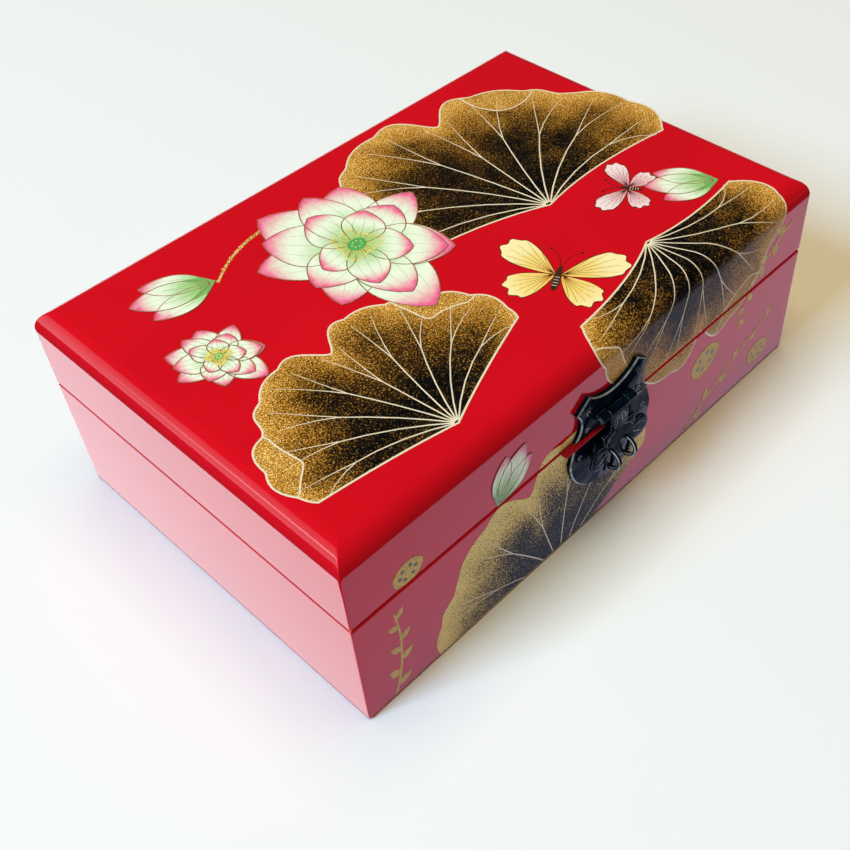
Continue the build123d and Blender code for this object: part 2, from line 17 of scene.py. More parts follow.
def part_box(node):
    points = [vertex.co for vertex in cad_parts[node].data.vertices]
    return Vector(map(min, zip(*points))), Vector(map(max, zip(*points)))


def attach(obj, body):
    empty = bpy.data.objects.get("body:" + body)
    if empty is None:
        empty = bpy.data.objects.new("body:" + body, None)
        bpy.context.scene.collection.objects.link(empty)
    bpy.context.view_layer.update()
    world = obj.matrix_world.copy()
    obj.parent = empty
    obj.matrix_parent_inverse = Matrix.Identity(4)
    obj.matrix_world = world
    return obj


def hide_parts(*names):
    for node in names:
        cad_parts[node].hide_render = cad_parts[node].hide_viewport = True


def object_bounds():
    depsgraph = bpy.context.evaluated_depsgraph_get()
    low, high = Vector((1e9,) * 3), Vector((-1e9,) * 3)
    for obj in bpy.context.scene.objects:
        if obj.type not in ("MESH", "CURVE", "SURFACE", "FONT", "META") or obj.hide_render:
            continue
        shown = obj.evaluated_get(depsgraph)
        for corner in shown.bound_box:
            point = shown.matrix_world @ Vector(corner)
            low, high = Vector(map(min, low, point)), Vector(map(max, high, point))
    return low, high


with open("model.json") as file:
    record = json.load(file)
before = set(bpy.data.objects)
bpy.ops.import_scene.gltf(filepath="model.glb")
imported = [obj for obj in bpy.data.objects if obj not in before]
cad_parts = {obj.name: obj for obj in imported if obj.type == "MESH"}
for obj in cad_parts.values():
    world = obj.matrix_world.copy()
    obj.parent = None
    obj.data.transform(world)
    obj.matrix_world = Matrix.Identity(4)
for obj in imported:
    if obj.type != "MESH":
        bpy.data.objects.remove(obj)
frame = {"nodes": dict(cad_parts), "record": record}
cad_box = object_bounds()

log = logging.getLogger("jewelry_box")

MM = 0.001
Point = tuple[float, float]
Place = tuple[float, float, float]
Colour = tuple[float, float, float]


class Body(Enum):
    """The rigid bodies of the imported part."""

    BASE = "base"
    LID = "lid"
    TONGUE = "tongue"
    TRAY = "tray"


class Wire:
    """A shader socket that Python's operators turn into Math nodes."""

    def __init__(self, shader: "Shader", socket: bpy.types.NodeSocket) -> None:
        """Keeps the tree that the socket belongs to.

        Args:
            shader: the tree that new Math nodes are added to.
            socket: the output socket that this wire carries.
        """
        self.shader = shader
        self.socket = socket

    def _maths(self, operation: str, first: Any, second: Any) -> "Wire":
        """Adds one Math node and returns its output."""
        return self.shader.node("ShaderNodeMath", {"operation": operation}, {0: first, 1: second})

    def __add__(self, other: Any) -> "Wire":
        """Sum."""
        return self._maths("ADD", self, other)

    def __radd__(self, other: Any) -> "Wire":
        """Sum with a number on the left."""
        return self._maths("ADD", other, self)

    def __sub__(self, other: Any) -> "Wire":
        """Difference."""
        return self._maths("SUBTRACT", self, other)

    def __rsub__(self, other: Any) -> "Wire":
        """Difference from a number."""
        return self._maths("SUBTRACT", other, self)

    def __mul__(self, other: Any) -> "Wire":
        """Product."""
        return self._maths("MULTIPLY", self, other)

    def __rmul__(self, other: Any) -> "Wire":
        """Product with a number on the left."""
        return self._maths("MULTIPLY", other, self)

    def clamp(self) -> "Wire":
        """Limits the value to the range from 0 to 1."""
        return self.shader.node("ShaderNodeClamp", {}, {"Value": self})

    def smooth(self, low: float, high: float) -> "Wire":
        """Rises smoothly from 0 at low to 1 at high.

        Args:
            low: the value that gives 0.
            high: the value that gives 1.

        Returns:
            The wire of the result.
        """
        settings = {"interpolation_type": "SMOOTHSTEP"}
        inputs = {"Value": self, "From Min": low, "From Max": high}
        return self.shader.node("ShaderNodeMapRange", settings, inputs)


class Shader:
    """A material's node tree, with one method that adds any node.

    The colour sockets of a Mix node share their names with others, so they are kept by number.
    """

    MIX_FACTOR = 0
    MIX_FIRST = 6
    MIX_SECOND = 7
    MIX_RESULT = 2

    def __init__(self, name: str) -> None:
        """Makes an empty node material.

        Args:
            name: the material's name.
        """
        self.material = bpy.data.materials.new(name)
        self.material.use_nodes = True
        self.tree = self.material.node_tree
        self.tree.nodes.clear()
        self.output = self.tree.nodes.new("ShaderNodeOutputMaterial")

    def node(self, kind: str, settings: dict[str, Any] | None = None,
             inputs: dict[Any, Any] | None = None, out: Any = 0) -> Wire:
        """Adds a node.

        Args:
            kind: Blender's name of the node type.
            settings: properties that are set before the sockets.
            inputs: a value or a Wire for each socket, by name or index.
            out: which output the wire carries.

        Returns:
            The wire of the chosen output.
        """
        made = self.tree.nodes.new(kind)
        for key, value in (settings or {}).items():
            setattr(made, key, value)
        for key, value in (inputs or {}).items():
            if isinstance(value, Wire):
                self.tree.links.new(value.socket, made.inputs[key])
            elif isinstance(value, tuple) and len(value) == 3 and made.inputs[key].type == "RGBA":
                made.inputs[key].default_value = (*value, 1.0)
            else:
                made.inputs[key].default_value = value
        return Wire(self, made.outputs[out])

    def place(self) -> Wire:
        """Object coordinates, in metres."""
        return self.node("ShaderNodeTexCoord", out="Object")

    def attribute(self, name: str) -> Wire:
        """A number that the mesh carries under this name."""
        return self.node("ShaderNodeAttribute", {"attribute_name": name}, out="Fac")

    def noise(self, scale: float, detail: float = 2.0, rough: float = 0.5) -> Wire:
        """Noise on Object coordinates: cells to a metre, octaves and how strong the finer ones are."""
        inputs = {"Vector": self.place(), "Scale": scale, "Detail": detail, "Roughness": rough}
        return self.node("ShaderNodeTexNoise", {}, inputs)

    def mix(self, factor: Any, first: Any, second: Any) -> Wire:
        """Mixes two colours: a factor of 0 gives the first and 1 the second."""
        inputs = {self.MIX_FACTOR: factor, self.MIX_FIRST: first, self.MIX_SECOND: second}
        return self.node("ShaderNodeMix", {"data_type": "RGBA"}, inputs, self.MIX_RESULT)

    def bump(self, height: Wire, strength: float, distance: float) -> Wire:
        """A normal bent by a height from 0 to 1, where 1 stands for the distance in metres."""
        inputs = {"Strength": strength, "Distance": distance, "Height": height}
        return self.node("ShaderNodeBump", {}, inputs)

    def surface(self, **sockets: Any) -> bpy.types.Material:
        """Ends the tree in a Principled surface.

        Args:
            sockets: values or wires by socket name, with underscores for blanks.

        Returns:
            The finished material.
        """
        named = {key.replace("_", " "): value for key, value in sockets.items()}
        shaded = self.node("ShaderNodeBsdfPrincipled", {}, named, "BSDF")
        self.tree.links.new(shaded.socket, self.output.inputs["Surface"])
        return self.material


@dataclass(frozen=True)
class Lacquer:
    """Many polished coats of red lacquer: deep colour under a hard clear gloss."""

    name: str
    colour: Colour = (0.60, 0.0035, 0.010)
    shade: Colour = (0.56, 0.0032, 0.009)
    coat_ior: float = 1.5

    def build(self) -> bpy.types.Material:
        """Builds the finish.

        Returns:
            The material.
        """
        shader = Shader(self.name)
        cloud = shader.noise(scale=14.0, detail=3.0)
        wave = shader.noise(scale=55.0, detail=1.0)
        haze = shader.noise(scale=230.0)
        return shader.surface(
            Base_Color=shader.mix(cloud.smooth(0.35, 0.65), self.shade, self.colour),
            Roughness=0.36 + 0.05 * haze,
            Coat_Weight=1.0,
            Coat_Roughness=0.02,
            Coat_IOR=self.coat_ior,
            Specular_IOR_Level=0.0,
            Normal=shader.bump(wave, strength=0.2, distance=0.00001),
        )


@dataclass(frozen=True)
class Blacking:
    """Glossy blue-black on stamped steel, pale where the mesh's marked attribute says so: worn bare metal
    along the edges together with a painted highlight on the bevels.
    """

    name: str
    colour: Colour = (0.0006, 0.0020, 0.0070)
    bloom: Colour = (0.0020, 0.0090, 0.0220)
    # Pale bare metal of worn edges, which also stands for a painted highlight on the bevels.
    bare_colour_and_highlight: Colour = (0.46, 0.50, 0.51)

    def build(self) -> bpy.types.Material:
        """Builds the finish.

        Returns:
            The material.
        """
        shader = Shader(self.name)
        mottle = shader.noise(scale=420.0, detail=3.0, rough=0.6)
        dents = shader.noise(scale=130.0, detail=1.0)
        fine_wear_and_highlight = shader.noise(scale=1500.0)
        broad_wear_and_highlight = shader.noise(scale=190.0, detail=1.0).smooth(0.35, 0.62)
        # Painted highlight with wear: the marked bevels turn pale in patches, as rubbed bare metal and as a
        # painted highlight.
        bare_and_highlight = (shader.attribute("bare_and_highlight") * (0.05 + 0.6 * fine_wear_and_highlight + 0.75 * broad_wear_and_highlight)).clamp()
        black = shader.mix(mottle.smooth(0.35, 0.7), self.colour, self.bloom)
        return shader.surface(
            Base_Color=shader.mix(bare_and_highlight, black, self.bare_colour_and_highlight),
            Metallic=0.3 * bare_and_highlight,
            Roughness=0.08 + 0.10 * mottle + 0.2 * bare_and_highlight,
            IOR=1.12,
            Normal=shader.bump(dents + 0.03 * mottle, strength=0.9, distance=0.0007),
        )


@dataclass(frozen=True)
class Plush:
    """Short-pile cloth: velvet, felt or foam cover."""

    name: str
    colour: Colour
    tip: Colour
    grain: float = 2600.0
    sheen: float = 0.6

    def build(self) -> bpy.types.Material:
        """Builds the finish.

        Returns:
            The material.
        """
        shader = Shader(self.name)
        pile = shader.noise(scale=self.grain, rough=0.7)
        brushed = shader.noise(scale=40.0, detail=1.0)
        tone = (0.84 * pile + 0.16 * brushed).smooth(0.28, 0.72)
        return shader.surface(
            Base_Color=shader.mix(tone, self.colour, self.tip),
            Roughness=0.9,
            Sheen_Weight=self.sheen,
            Sheen_Roughness=0.4,
            Sheen_Tint=(*self.tip, 1.0),
            Normal=shader.bump(pile, strength=0.5, distance=0.0003),
        )


@dataclass(frozen=True)
class Silvered:
    """Mirror glass."""

    name: str

    def build(self) -> bpy.types.Material:
        """Builds the finish.

        Returns:
            The material.
        """
        shader = Shader(self.name)
        haze = shader.noise(scale=90.0)
        return shader.surface(Base_Color=(0.86, 0.88, 0.89), Metallic=1.0, Roughness=0.015 + 0.01 * haze)


@dataclass(frozen=True)
class GoldDust:
    """Gold powder sprinkled on a dark ground, thicker where the mesh's tone is higher.

    The tone is multiplied by gain and raised by bias before it is used.
    """

    name: str
    heart: Colour = (0.0012, 0.0022, 0.0026)
    ground: Colour = (0.105, 0.040, 0.002)
    powder: Colour = (0.46, 0.19, 0.014)
    flake: Colour = (0.92, 0.60, 0.19)
    bias: float = 0.0
    gain: float = 1.0
    coat: float = 0.18

    def build(self) -> bpy.types.Material:
        """Builds the finish.

        Returns:
            The material.
        """
        shader = Shader(self.name)
        drift = shader.noise(scale=60.0, detail=3.0)
        tone = (self.gain * shader.attribute("tone") + self.bias + 0.9 * (drift - 0.5)).clamp()
        grain = shader.noise(scale=1500.0, rough=0.8)
        spark = shader.noise(scale=2300.0, detail=1.0)
        under = shader.mix(tone.smooth(0.1, 0.9), self.heart, self.ground)
        dusted = shader.mix((grain + 0.24 * tone).smooth(0.62, 0.70), under, self.powder)
        return shader.surface(
            Base_Color=shader.mix((spark + 0.22 * tone).smooth(0.74, 0.80), dusted, self.flake),
            Roughness=0.45,
            Coat_Weight=self.coat,
            Coat_Roughness=0.03,
            Specular_IOR_Level=0.1,
        )


@dataclass(frozen=True)
class Enamel:
    """Painted enamel that runs through three colours as the mesh's tone rises from 0 to 1."""

    name: str
    start: Colour
    middle: Colour
    end: Colour
    turn: float = 0.45

    def build(self) -> bpy.types.Material:
        """Builds the finish.

        Returns:
            The material.
        """
        shader = Shader(self.name)
        tone = shader.attribute("tone")
        streak = shader.noise(scale=380.0)
        soft = tone + 0.16 * (streak - 0.5)
        first = shader.mix(soft.smooth(0.0, self.turn), self.start, self.middle)
        return shader.surface(
            Base_Color=shader.mix(soft.smooth(self.turn, 1.0), first, self.end),
            Roughness=0.4,
            Coat_Weight=1.0,
            Coat_Roughness=0.04,
            Specular_IOR_Level=0.1,
        )


@dataclass
class Studio:
    """The camera at the photograph's angle, a pale floor, soft lamps and what the gloss reflects.

    Lengths are in metres unless their names end in px or mm. A glow is a radiance, or the two that
    a sheet runs between; the lit floor's radiance is about 0.9. The skim is how far a sheet lies
    over the floor and the gap how far it stays from the case. A strip's number is its width. The
    window's and the bar's corners are y and z on the wall. The sheets are painted reflections that
    only the gloss sees: a pale strip beside the left and the front face, dark sheets beyond them,
    and a pale window with a bright bar that paints a glint on the lid's left round edge.
    """

    OUTWARDS = (0.0, 0.0, 1.0, 1.0)
    SIDEWAYS = (0.0, 1.0, 1.0, 0.0)

    frame_px: float = 850.0
    focal_px: float = 1147.3
    centre_px: Point = (500.0, 412.33)
    sensor_mm: float = 36.0
    eye_mm: Place = (-230.824, -254.110, 355.557)
    forward: Place = (0.49289, 0.48332, -0.72350)
    right: Place = (0.68003, -0.73272, -0.02620)
    nearest: float = 0.01
    floor_half: float = 1.3
    floor_colour: Colour = (0.76, 0.77, 0.765)
    room_colour: Colour = (1.0, 0.92, 0.8)
    room_strength: float = 0.06
    mirrored_colour: Colour = (0.9, 0.85, 1.0)
    mirrored_strength: float = 0.035
    skim: float = 0.0006
    gap: float = 0.0004
    left_strip: float = 0.034
    front_strip: float = 0.056
    strip_end: float = 0.4
    wall: float = -1.8
    room_front: float = -1.2
    room_back: float = 2.6
    room_right: float = 1.0
    window_low: Point = (-0.6, 0.0)
    window_high: Point = (3.4, 2.6)
    bar_low: Point = (-0.1, 0.76)
    bar_high: Point = (1.9, 0.98)
    bar_relief: float = 0.01
    # Painted reflection colours: radiances of the sheets that only the gloss sees; the bar paints a glint.
    reflected_dark: Colour = (0.03, 0.028, 0.035)
    left_reflection_glow: Colour = (1.68, 1.78, 1.92)
    front_reflection_glow: tuple[Colour, Colour] = ((0.50, 0.53, 0.80), (0.84, 0.86, 1.0))
    window_reflection_glow: tuple[Colour, Colour] = ((1.45, 1.45, 1.6), (0.5, 0.5, 0.6))
    bar_glint_glow: tuple[Colour, Colour] = ((11.0, 10.8, 11.4), (1.4, 1.4, 1.5))

    def camera(self) -> None:
        """Sets the camera where the photograph was taken from."""
        data = bpy.data.cameras.new("camera")
        data.sensor_width = self.sensor_mm
        data.lens = self.sensor_mm * self.focal_px / self.frame_px
        half = self.frame_px / 2
        data.shift_x = (half - self.centre_px[0]) / self.frame_px
        data.shift_y = (self.centre_px[1] - half) / self.frame_px
        data.clip_start = self.nearest
        ahead = Vector(self.forward).normalized()
        side = (Vector(self.right) - ahead * ahead.dot(Vector(self.right))).normalized()
        above = side.cross(ahead)
        turn = Matrix((side, above, -ahead)).transposed()
        camera = bpy.data.objects.new("camera", data)
        camera.matrix_world = Matrix.Translation(Vector(self.eye_mm) * MM) @ turn.to_4x4()
        bpy.context.scene.collection.objects.link(camera)
        bpy.context.scene.camera = camera

    def quad(self, name: str, corners: Sequence[Sequence[float]], material: bpy.types.Material,
             tones: Sequence[float] = (0.0, 0.0, 0.0, 0.0)) -> bpy.types.Object:
        """Adds a four-cornered stage sheet.

        Args:
            name: the sheet's name.
            corners: its four corners in metres, counter-clockwise seen from its lit side.
            material: what it is made of.
            tones: the tone at each corner.

        Returns:
            The sheet's object.
        """
        mesh = bpy.data.meshes.new(name)
        mesh.from_pydata([tuple(c) for c in corners], [], [(0, 1, 2, 3)])
        mesh.attributes.new("tone", "FLOAT", "POINT").data.foreach_set("value", list(tones))
        mesh.materials.append(material)
        sheet = bpy.data.objects.new(name, mesh)
        bpy.context.scene.collection.objects.link(sheet)
        return sheet

    def floor(self) -> None:
        """Lays the floor that the box stands on."""
        half = self.floor_half
        paper = Shader("floor_paper").surface(
            Base_Color=self.floor_colour,
            Roughness=1.0,
            Specular_IOR_Level=0.0,
        )
        self.quad("floor", [(-half, -half, 0), (half, -half, 0), (half, half, 0), (-half, half, 0)], paper)

    def reflection_sheet(self, name: str, corners: Sequence[Sequence[float]], first: Colour, last: Colour,
             tones: Sequence[float] = OUTWARDS) -> None:
        """Adds a painted reflection: a glowing sheet that only polished surfaces see.

        Args:
            name: the sheet's name.
            corners: its four corners in metres.
            first: its radiance where the tone is 0.
            last: its radiance where the tone is 1.
            tones: the tone at each corner.
        """
        shader = Shader(name)
        material = shader.surface(
            Base_Color=(0.0, 0.0, 0.0),
            Specular_IOR_Level=0.0,
            Emission_Color=shader.mix(shader.attribute("tone"), first, last),
            Emission_Strength=1.0,
        )
        sheet = self.quad(name, corners, material, tones)
        # Painted reflection: the sheet is hidden from the camera, from diffuse light and from shadows.
        sheet.visible_camera = False
        sheet.visible_diffuse = False
        sheet.visible_shadow = False

    def level(self, low: Point, high: Point) -> list[Place]:
        """The corners of a sheet that lies just over the floor, from x and y low to x and y high."""
        z = self.skim
        return [(low[0], low[1], z), (high[0], low[1], z), (high[0], high[1], z), (low[0], high[1], z)]

    def upright(self, x: float, low: Point, high: Point) -> list[Place]:
        """The corners of a sheet that stands at this x, from y and z low to y and z high."""
        return [(x, low[0], low[1]), (x, high[0], low[1]), (x, high[0], high[1]), (x, low[0], high[1])]

    def lamp(self, name: str, place: Place, size: Point, watts: float, colour: Colour) -> None:
        """Adds a soft rectangular lamp that faces the middle of the floor and that gloss doesn't show.

        Args:
            name: the lamp's name.
            place: where it hangs, in metres.
            size: its width and height in metres.
            watts: its power.
            colour: its colour.
        """
        data = bpy.data.lights.new(name, "AREA")
        data.shape = "RECTANGLE"
        data.size, data.size_y = size
        data.energy = watts
        data.color = colour
        lamp = bpy.data.objects.new(name, data)
        lamp.location = place
        facing = Vector((0.0, 0.0, 0.0)) - Vector(place)
        lamp.rotation_euler = facing.to_track_quat("-Z", "Y").to_euler()
        lamp.visible_camera = False
        lamp.visible_glossy = False
        bpy.context.scene.collection.objects.link(lamp)

    def world(self) -> None:
        """Fills the room with a dim even light, and leaves it nearly dark to polished surfaces."""
        world = bpy.data.worlds.new("room")
        world.use_nodes = True
        tree = world.node_tree
        tree.nodes.clear()
        output = tree.nodes.new("ShaderNodeOutputWorld")
        lights = []
        for colour, strength in ((self.room_colour, self.room_strength),
                                 (self.mirrored_colour, self.mirrored_strength)):
            light = tree.nodes.new("ShaderNodeBackground")
            light.inputs["Color"].default_value = (*colour, 1.0)
            light.inputs["Strength"].default_value = strength
            lights.append(light)
        path = tree.nodes.new("ShaderNodeLightPath")
        mix = tree.nodes.new("ShaderNodeMixShader")
        tree.links.new(path.outputs["Is Glossy Ray"], mix.inputs[0])
        tree.links.new(lights[0].outputs[0], mix.inputs[1])
        tree.links.new(lights[1].outputs[0], mix.inputs[2])
        tree.links.new(mix.outputs[0], output.inputs["Surface"])
        bpy.context.scene.world = world

    def strips(self) -> None:
        """Lays painted reflections for the left and the front face: a pale strip beside each, brighter than
        the floor on the left and bluish at the front, and dark sheets beyond them over the lit floor.
        """
        left = cad_box[0][0] - self.gap
        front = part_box("base_front_wall")[0][1] - self.gap
        reach_x, reach_y = left - self.left_strip, front - self.front_strip
        # Painted reflections: the strips and dark sheets are seen only by the gloss.
        self.reflection_sheet("left_table_painted_reflection", self.level((reach_x, front), (left, self.strip_end)),
                  self.left_reflection_glow, self.left_reflection_glow)
        self.reflection_sheet("left_dark_painted_reflection", self.level((self.wall, self.room_front), (reach_x, self.room_back)),
                  self.reflected_dark, self.reflected_dark)
        self.reflection_sheet("front_table_painted_reflection", self.level((reach_x, reach_y), (self.strip_end, front)), *self.front_reflection_glow,
                  tones=self.SIDEWAYS)
        self.reflection_sheet("front_dark_painted_reflection", self.level((reach_x, self.room_front), (self.room_right, reach_y)),
                  self.reflected_dark, self.reflected_dark)

    def window(self) -> None:
        """Stands a painted reflection of a tall pale window on the left, with a bright bar in it that paints
        a glint on the lid's left round edge and near corner.
        """
        pane = self.upright(self.wall, self.window_low, self.window_high)
        self.reflection_sheet("far_window_painted_reflection", pane, *self.window_reflection_glow)
        # Painted glint: the bright bar is seen only in the gloss of the round edge and the corner.
        bar = self.upright(self.wall + self.bar_relief, self.bar_low, self.bar_high)
        self.reflection_sheet("window_bar_painted_glint", bar, *self.bar_glint_glow, tones=self.SIDEWAYS)

    def build(self) -> None:
        """Sets up everything around the box."""
        self.camera()
        self.floor()
        self.world()
        self.lamp("ceiling", place=(0.0, 0.0, 4.0), size=(3.0, 3.0), watts=132.0, colour=(1.0, 0.81, 0.45))
        self.lamp("window", place=(-3.0, 0.52, 2.6), size=(1.4, 1.4), watts=205.0, colour=(0.47, 0.70, 1.0))
        self.strips()
        self.window()
        bpy.context.scene.view_settings.view_transform = "Standard"


FINISHES = {
    "lacquer": Lacquer("red_lacquer"),
    "board": Plush("board", (0.30, 0.19, 0.10), (0.36, 0.24, 0.14), 900.0, 0.0),
    "felt": Plush("black_felt", (0.012, 0.012, 0.013), (0.03, 0.03, 0.032)),
    "velvet": Plush("wine_velvet", (0.10, 0.003, 0.010), (0.32, 0.012, 0.03)),
    "foam_velvet": Plush("roll_velvet", (0.10, 0.003, 0.010), (0.32, 0.012, 0.03)),
    "ribbon": Plush("ribbon_satin", (0.45, 0.01, 0.02), (0.6, 0.05, 0.06), 1500.0),
    "slip": Plush("slip_felt", (0.27, 0.0015, 0.006), (0.34, 0.003, 0.010), 1800.0, 0.05),
    "mirror": Silvered("mirror_silver"),
    "frame": Lacquer("frame_lacquer", (0.30, 0.003, 0.008), (0.22, 0.002, 0.006)),
    "hasp_metal": Blacking("hasp_blacking"),
    "hinge_metal": Blacking("hinge_blacking"),
}


class Pigment(Enum):
    """The paints of the decoration."""

    LEAF = "leaf_dust"
    GILT = "front_dust"
    LIP = "lip_dust"
    CREAM = "cream_line"
    PETAL = "petal_enamel"
    PETAL_LINE = "petal_line"
    HEART = "heart_green"
    STAMEN = "stamen_yellow"
    YELLOW_WING = "yellow_wing"
    PINK_WING = "pink_wing"
    INK = "ink_line"
    BRONZE = "bronze_dust"
    BARK = "bark_gold"


PAINTS = {
    Pigment.LEAF: GoldDust("leaf_dust"),
    Pigment.GILT: GoldDust("front_dust", (0.002, 0.005, 0.008), (0.20, 0.12, 0.03), (0.80, 0.55, 0.17),
                           (0.95, 0.76, 0.36), gain=1.1, coat=0.08),
    Pigment.LIP: GoldDust("lip_dust", (0.05, 0.025, 0.006), (0.16, 0.085, 0.015), bias=0.1),
    Pigment.CREAM: Enamel("cream_line", (0.78, 0.66, 0.46), (0.78, 0.66, 0.46), (0.70, 0.42, 0.32)),
    Pigment.PETAL: Enamel("petal_enamel", (0.30, 0.56, 0.16), (0.80, 0.86, 0.66), (0.82, 0.09, 0.24), 0.5),
    Pigment.PETAL_LINE: Enamel("petal_line", (0.42, 0.52, 0.24), (0.30, 0.26, 0.08), (0.28, 0.12, 0.06)),
    Pigment.HEART: Enamel("heart_green", (0.02, 0.20, 0.05), (0.10, 0.40, 0.10), (0.50, 0.62, 0.20)),
    Pigment.STAMEN: Enamel("stamen_yellow", (0.62, 0.52, 0.12), (0.80, 0.62, 0.10), (0.90, 0.66, 0.16)),
    Pigment.YELLOW_WING: Enamel("yellow_wing", (0.84, 0.34, 0.04), (0.88, 0.62, 0.16), (0.92, 0.78, 0.38)),
    Pigment.PINK_WING: Enamel("pink_wing", (0.62, 0.08, 0.12), (0.80, 0.44, 0.44), (0.86, 0.68, 0.66)),
    Pigment.INK: Enamel("ink_line", (0.03, 0.012, 0.008), (0.05, 0.02, 0.01), (0.10, 0.03, 0.01)),
    Pigment.BRONZE: GoldDust("bronze_dust", (0.24, 0.08, 0.02), (0.38, 0.20, 0.05), (0.52, 0.34, 0.09),
                             bias=0.3),
    Pigment.BARK: GoldDust("bark_gold", (0.08, 0.03, 0.01), (0.24, 0.12, 0.03), bias=0.2),
}


def dress_nodes() -> dict[str, bpy.types.Material]:
    """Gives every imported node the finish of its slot.

    Returns:
        The materials by slot.
    """
    made = {slot: finish.build() for slot, finish in FINISHES.items()}
    slots = {part["node"]: part["material_slot"] for part in frame["record"]["subparts"]}
    for node, piece in frame["nodes"].items():
        piece.data.materials.clear()
        piece.data.materials.append(made[slots[node]])
    return made


def enrol(piece: bpy.types.Object, body: Body, slot: str, *nodes: str) -> bpy.types.Object:
    """Puts a finished piece on its body.

    Args:
        piece: the piece, at the origin.
        body: the body that it moves with.
        slot: the record's material slot.
        nodes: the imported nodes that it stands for.

    Returns:
        The piece.
    """
    if piece.name not in bpy.context.scene.collection.objects:
        bpy.context.scene.collection.objects.link(piece)
    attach(piece, body.value)
    if nodes:
        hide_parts(*nodes)
    log.info("%s on %s: %d faces", piece.name, body.value, len(piece.data.polygons))
    return piece


@dataclass(frozen=True)
class Case:
    """The box's main sizes in millimetres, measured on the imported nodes, and how its edges are eased.

    The edge radius is that of the lid's round top edge, and the corner that of the upright corners.
    An arris is a small slope along an edge; the brow is the wider one along the base's top edge, and
    the offset moves it to the front.
    """

    half_x: float
    half_y: float
    top: float
    rail_top: float
    lid_bottom: float
    base_top: float
    base_bottom: float
    board: float
    edge_radius: float = 8.4
    arris: float = 0.35
    brow: float = 0.8
    corner: float = 0.45
    offset: float = 0.35

    @classmethod
    def measure(cls) -> "Case":
        """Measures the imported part.

        Returns:
            Its sizes.
        """
        panel_low, panel_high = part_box("lid_top_panel")
        rail_low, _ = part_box("lid_front_rail")
        wall_low, wall_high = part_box("base_front_wall")
        return cls(
            half_x=panel_high[0] / MM,
            half_y=panel_high[1] / MM,
            top=panel_high[2] / MM,
            rail_top=panel_low[2] / MM,
            lid_bottom=rail_low[2] / MM,
            base_top=wall_high[2] / MM,
            base_bottom=wall_low[2] / MM,
            board=(wall_high[1] - wall_low[1]) / MM,
        )


@dataclass
class Soup:
    """Points, faces and numbers of one mesh in the making, in millimetres."""

    points: list[Place] = field(default_factory=list)
    faces: list[tuple[int, ...]] = field(default_factory=list)
    tones: list[float] = field(default_factory=list)

    def add(self, point: Sequence[float], tone: float = 0.0) -> int:
        """Adds a point.

        Args:
            point: its place in millimetres.
            tone: the number that it carries.

        Returns:
            Its index.
        """
        self.points.append(tuple(point))
        self.tones.append(tone)
        return len(self.points) - 1

    def tube(self, rings: Sequence[Sequence[int]], closed: bool) -> None:
        """Joins rings of points into a tube, and caps it unless it closes on itself.

        Args:
            rings: point indices of each ring, in one turning sense.
            closed: whether the last ring joins the first.
        """
        count = len(rings[0])
        pairs = list(zip(rings, rings[1:]))
        if closed:
            pairs.append((rings[-1], rings[0]))
        for first, second in pairs:
            for i in range(count):
                j = (i + 1) % count
                self.faces.append((first[i], first[j], second[j], second[i]))
        if not closed:
            self.faces.append(tuple(reversed(rings[0])))
            self.faces.append(tuple(rings[-1]))

    def build(self, name: str, material: bpy.types.Material, smooth_deg: float = 0.0,
              layer: str = "tone") -> bpy.types.Object:
        """Makes the object.

        Args:
            name: its name.
            material: its material.
            smooth_deg: edges sharper than this stay sharp; 0 leaves all faces flat.
            layer: the attribute that holds the tones.

        Returns:
            The object, not yet in the scene.
        """
        mesh = bpy.data.meshes.new(name)
        mesh.from_pydata([[c * MM for c in p] for p in self.points], [], self.faces)
        tone = mesh.attributes.new(layer, "FLOAT", "POINT")
        tone.data.foreach_set("value", self.tones)
        mesh.materials.append(material)
        shaped = bmesh.new()
        shaped.from_mesh(mesh)
        bmesh.ops.recalc_face_normals(shaped, faces=shaped.faces)
        shaped.to_mesh(mesh)
        shaped.free()
        if smooth_deg:
            mesh.shade_smooth()
            mesh.set_sharp_from_angle(angle=math.radians(smooth_deg))
        mesh.update()
        return bpy.data.objects.new(name, mesh)


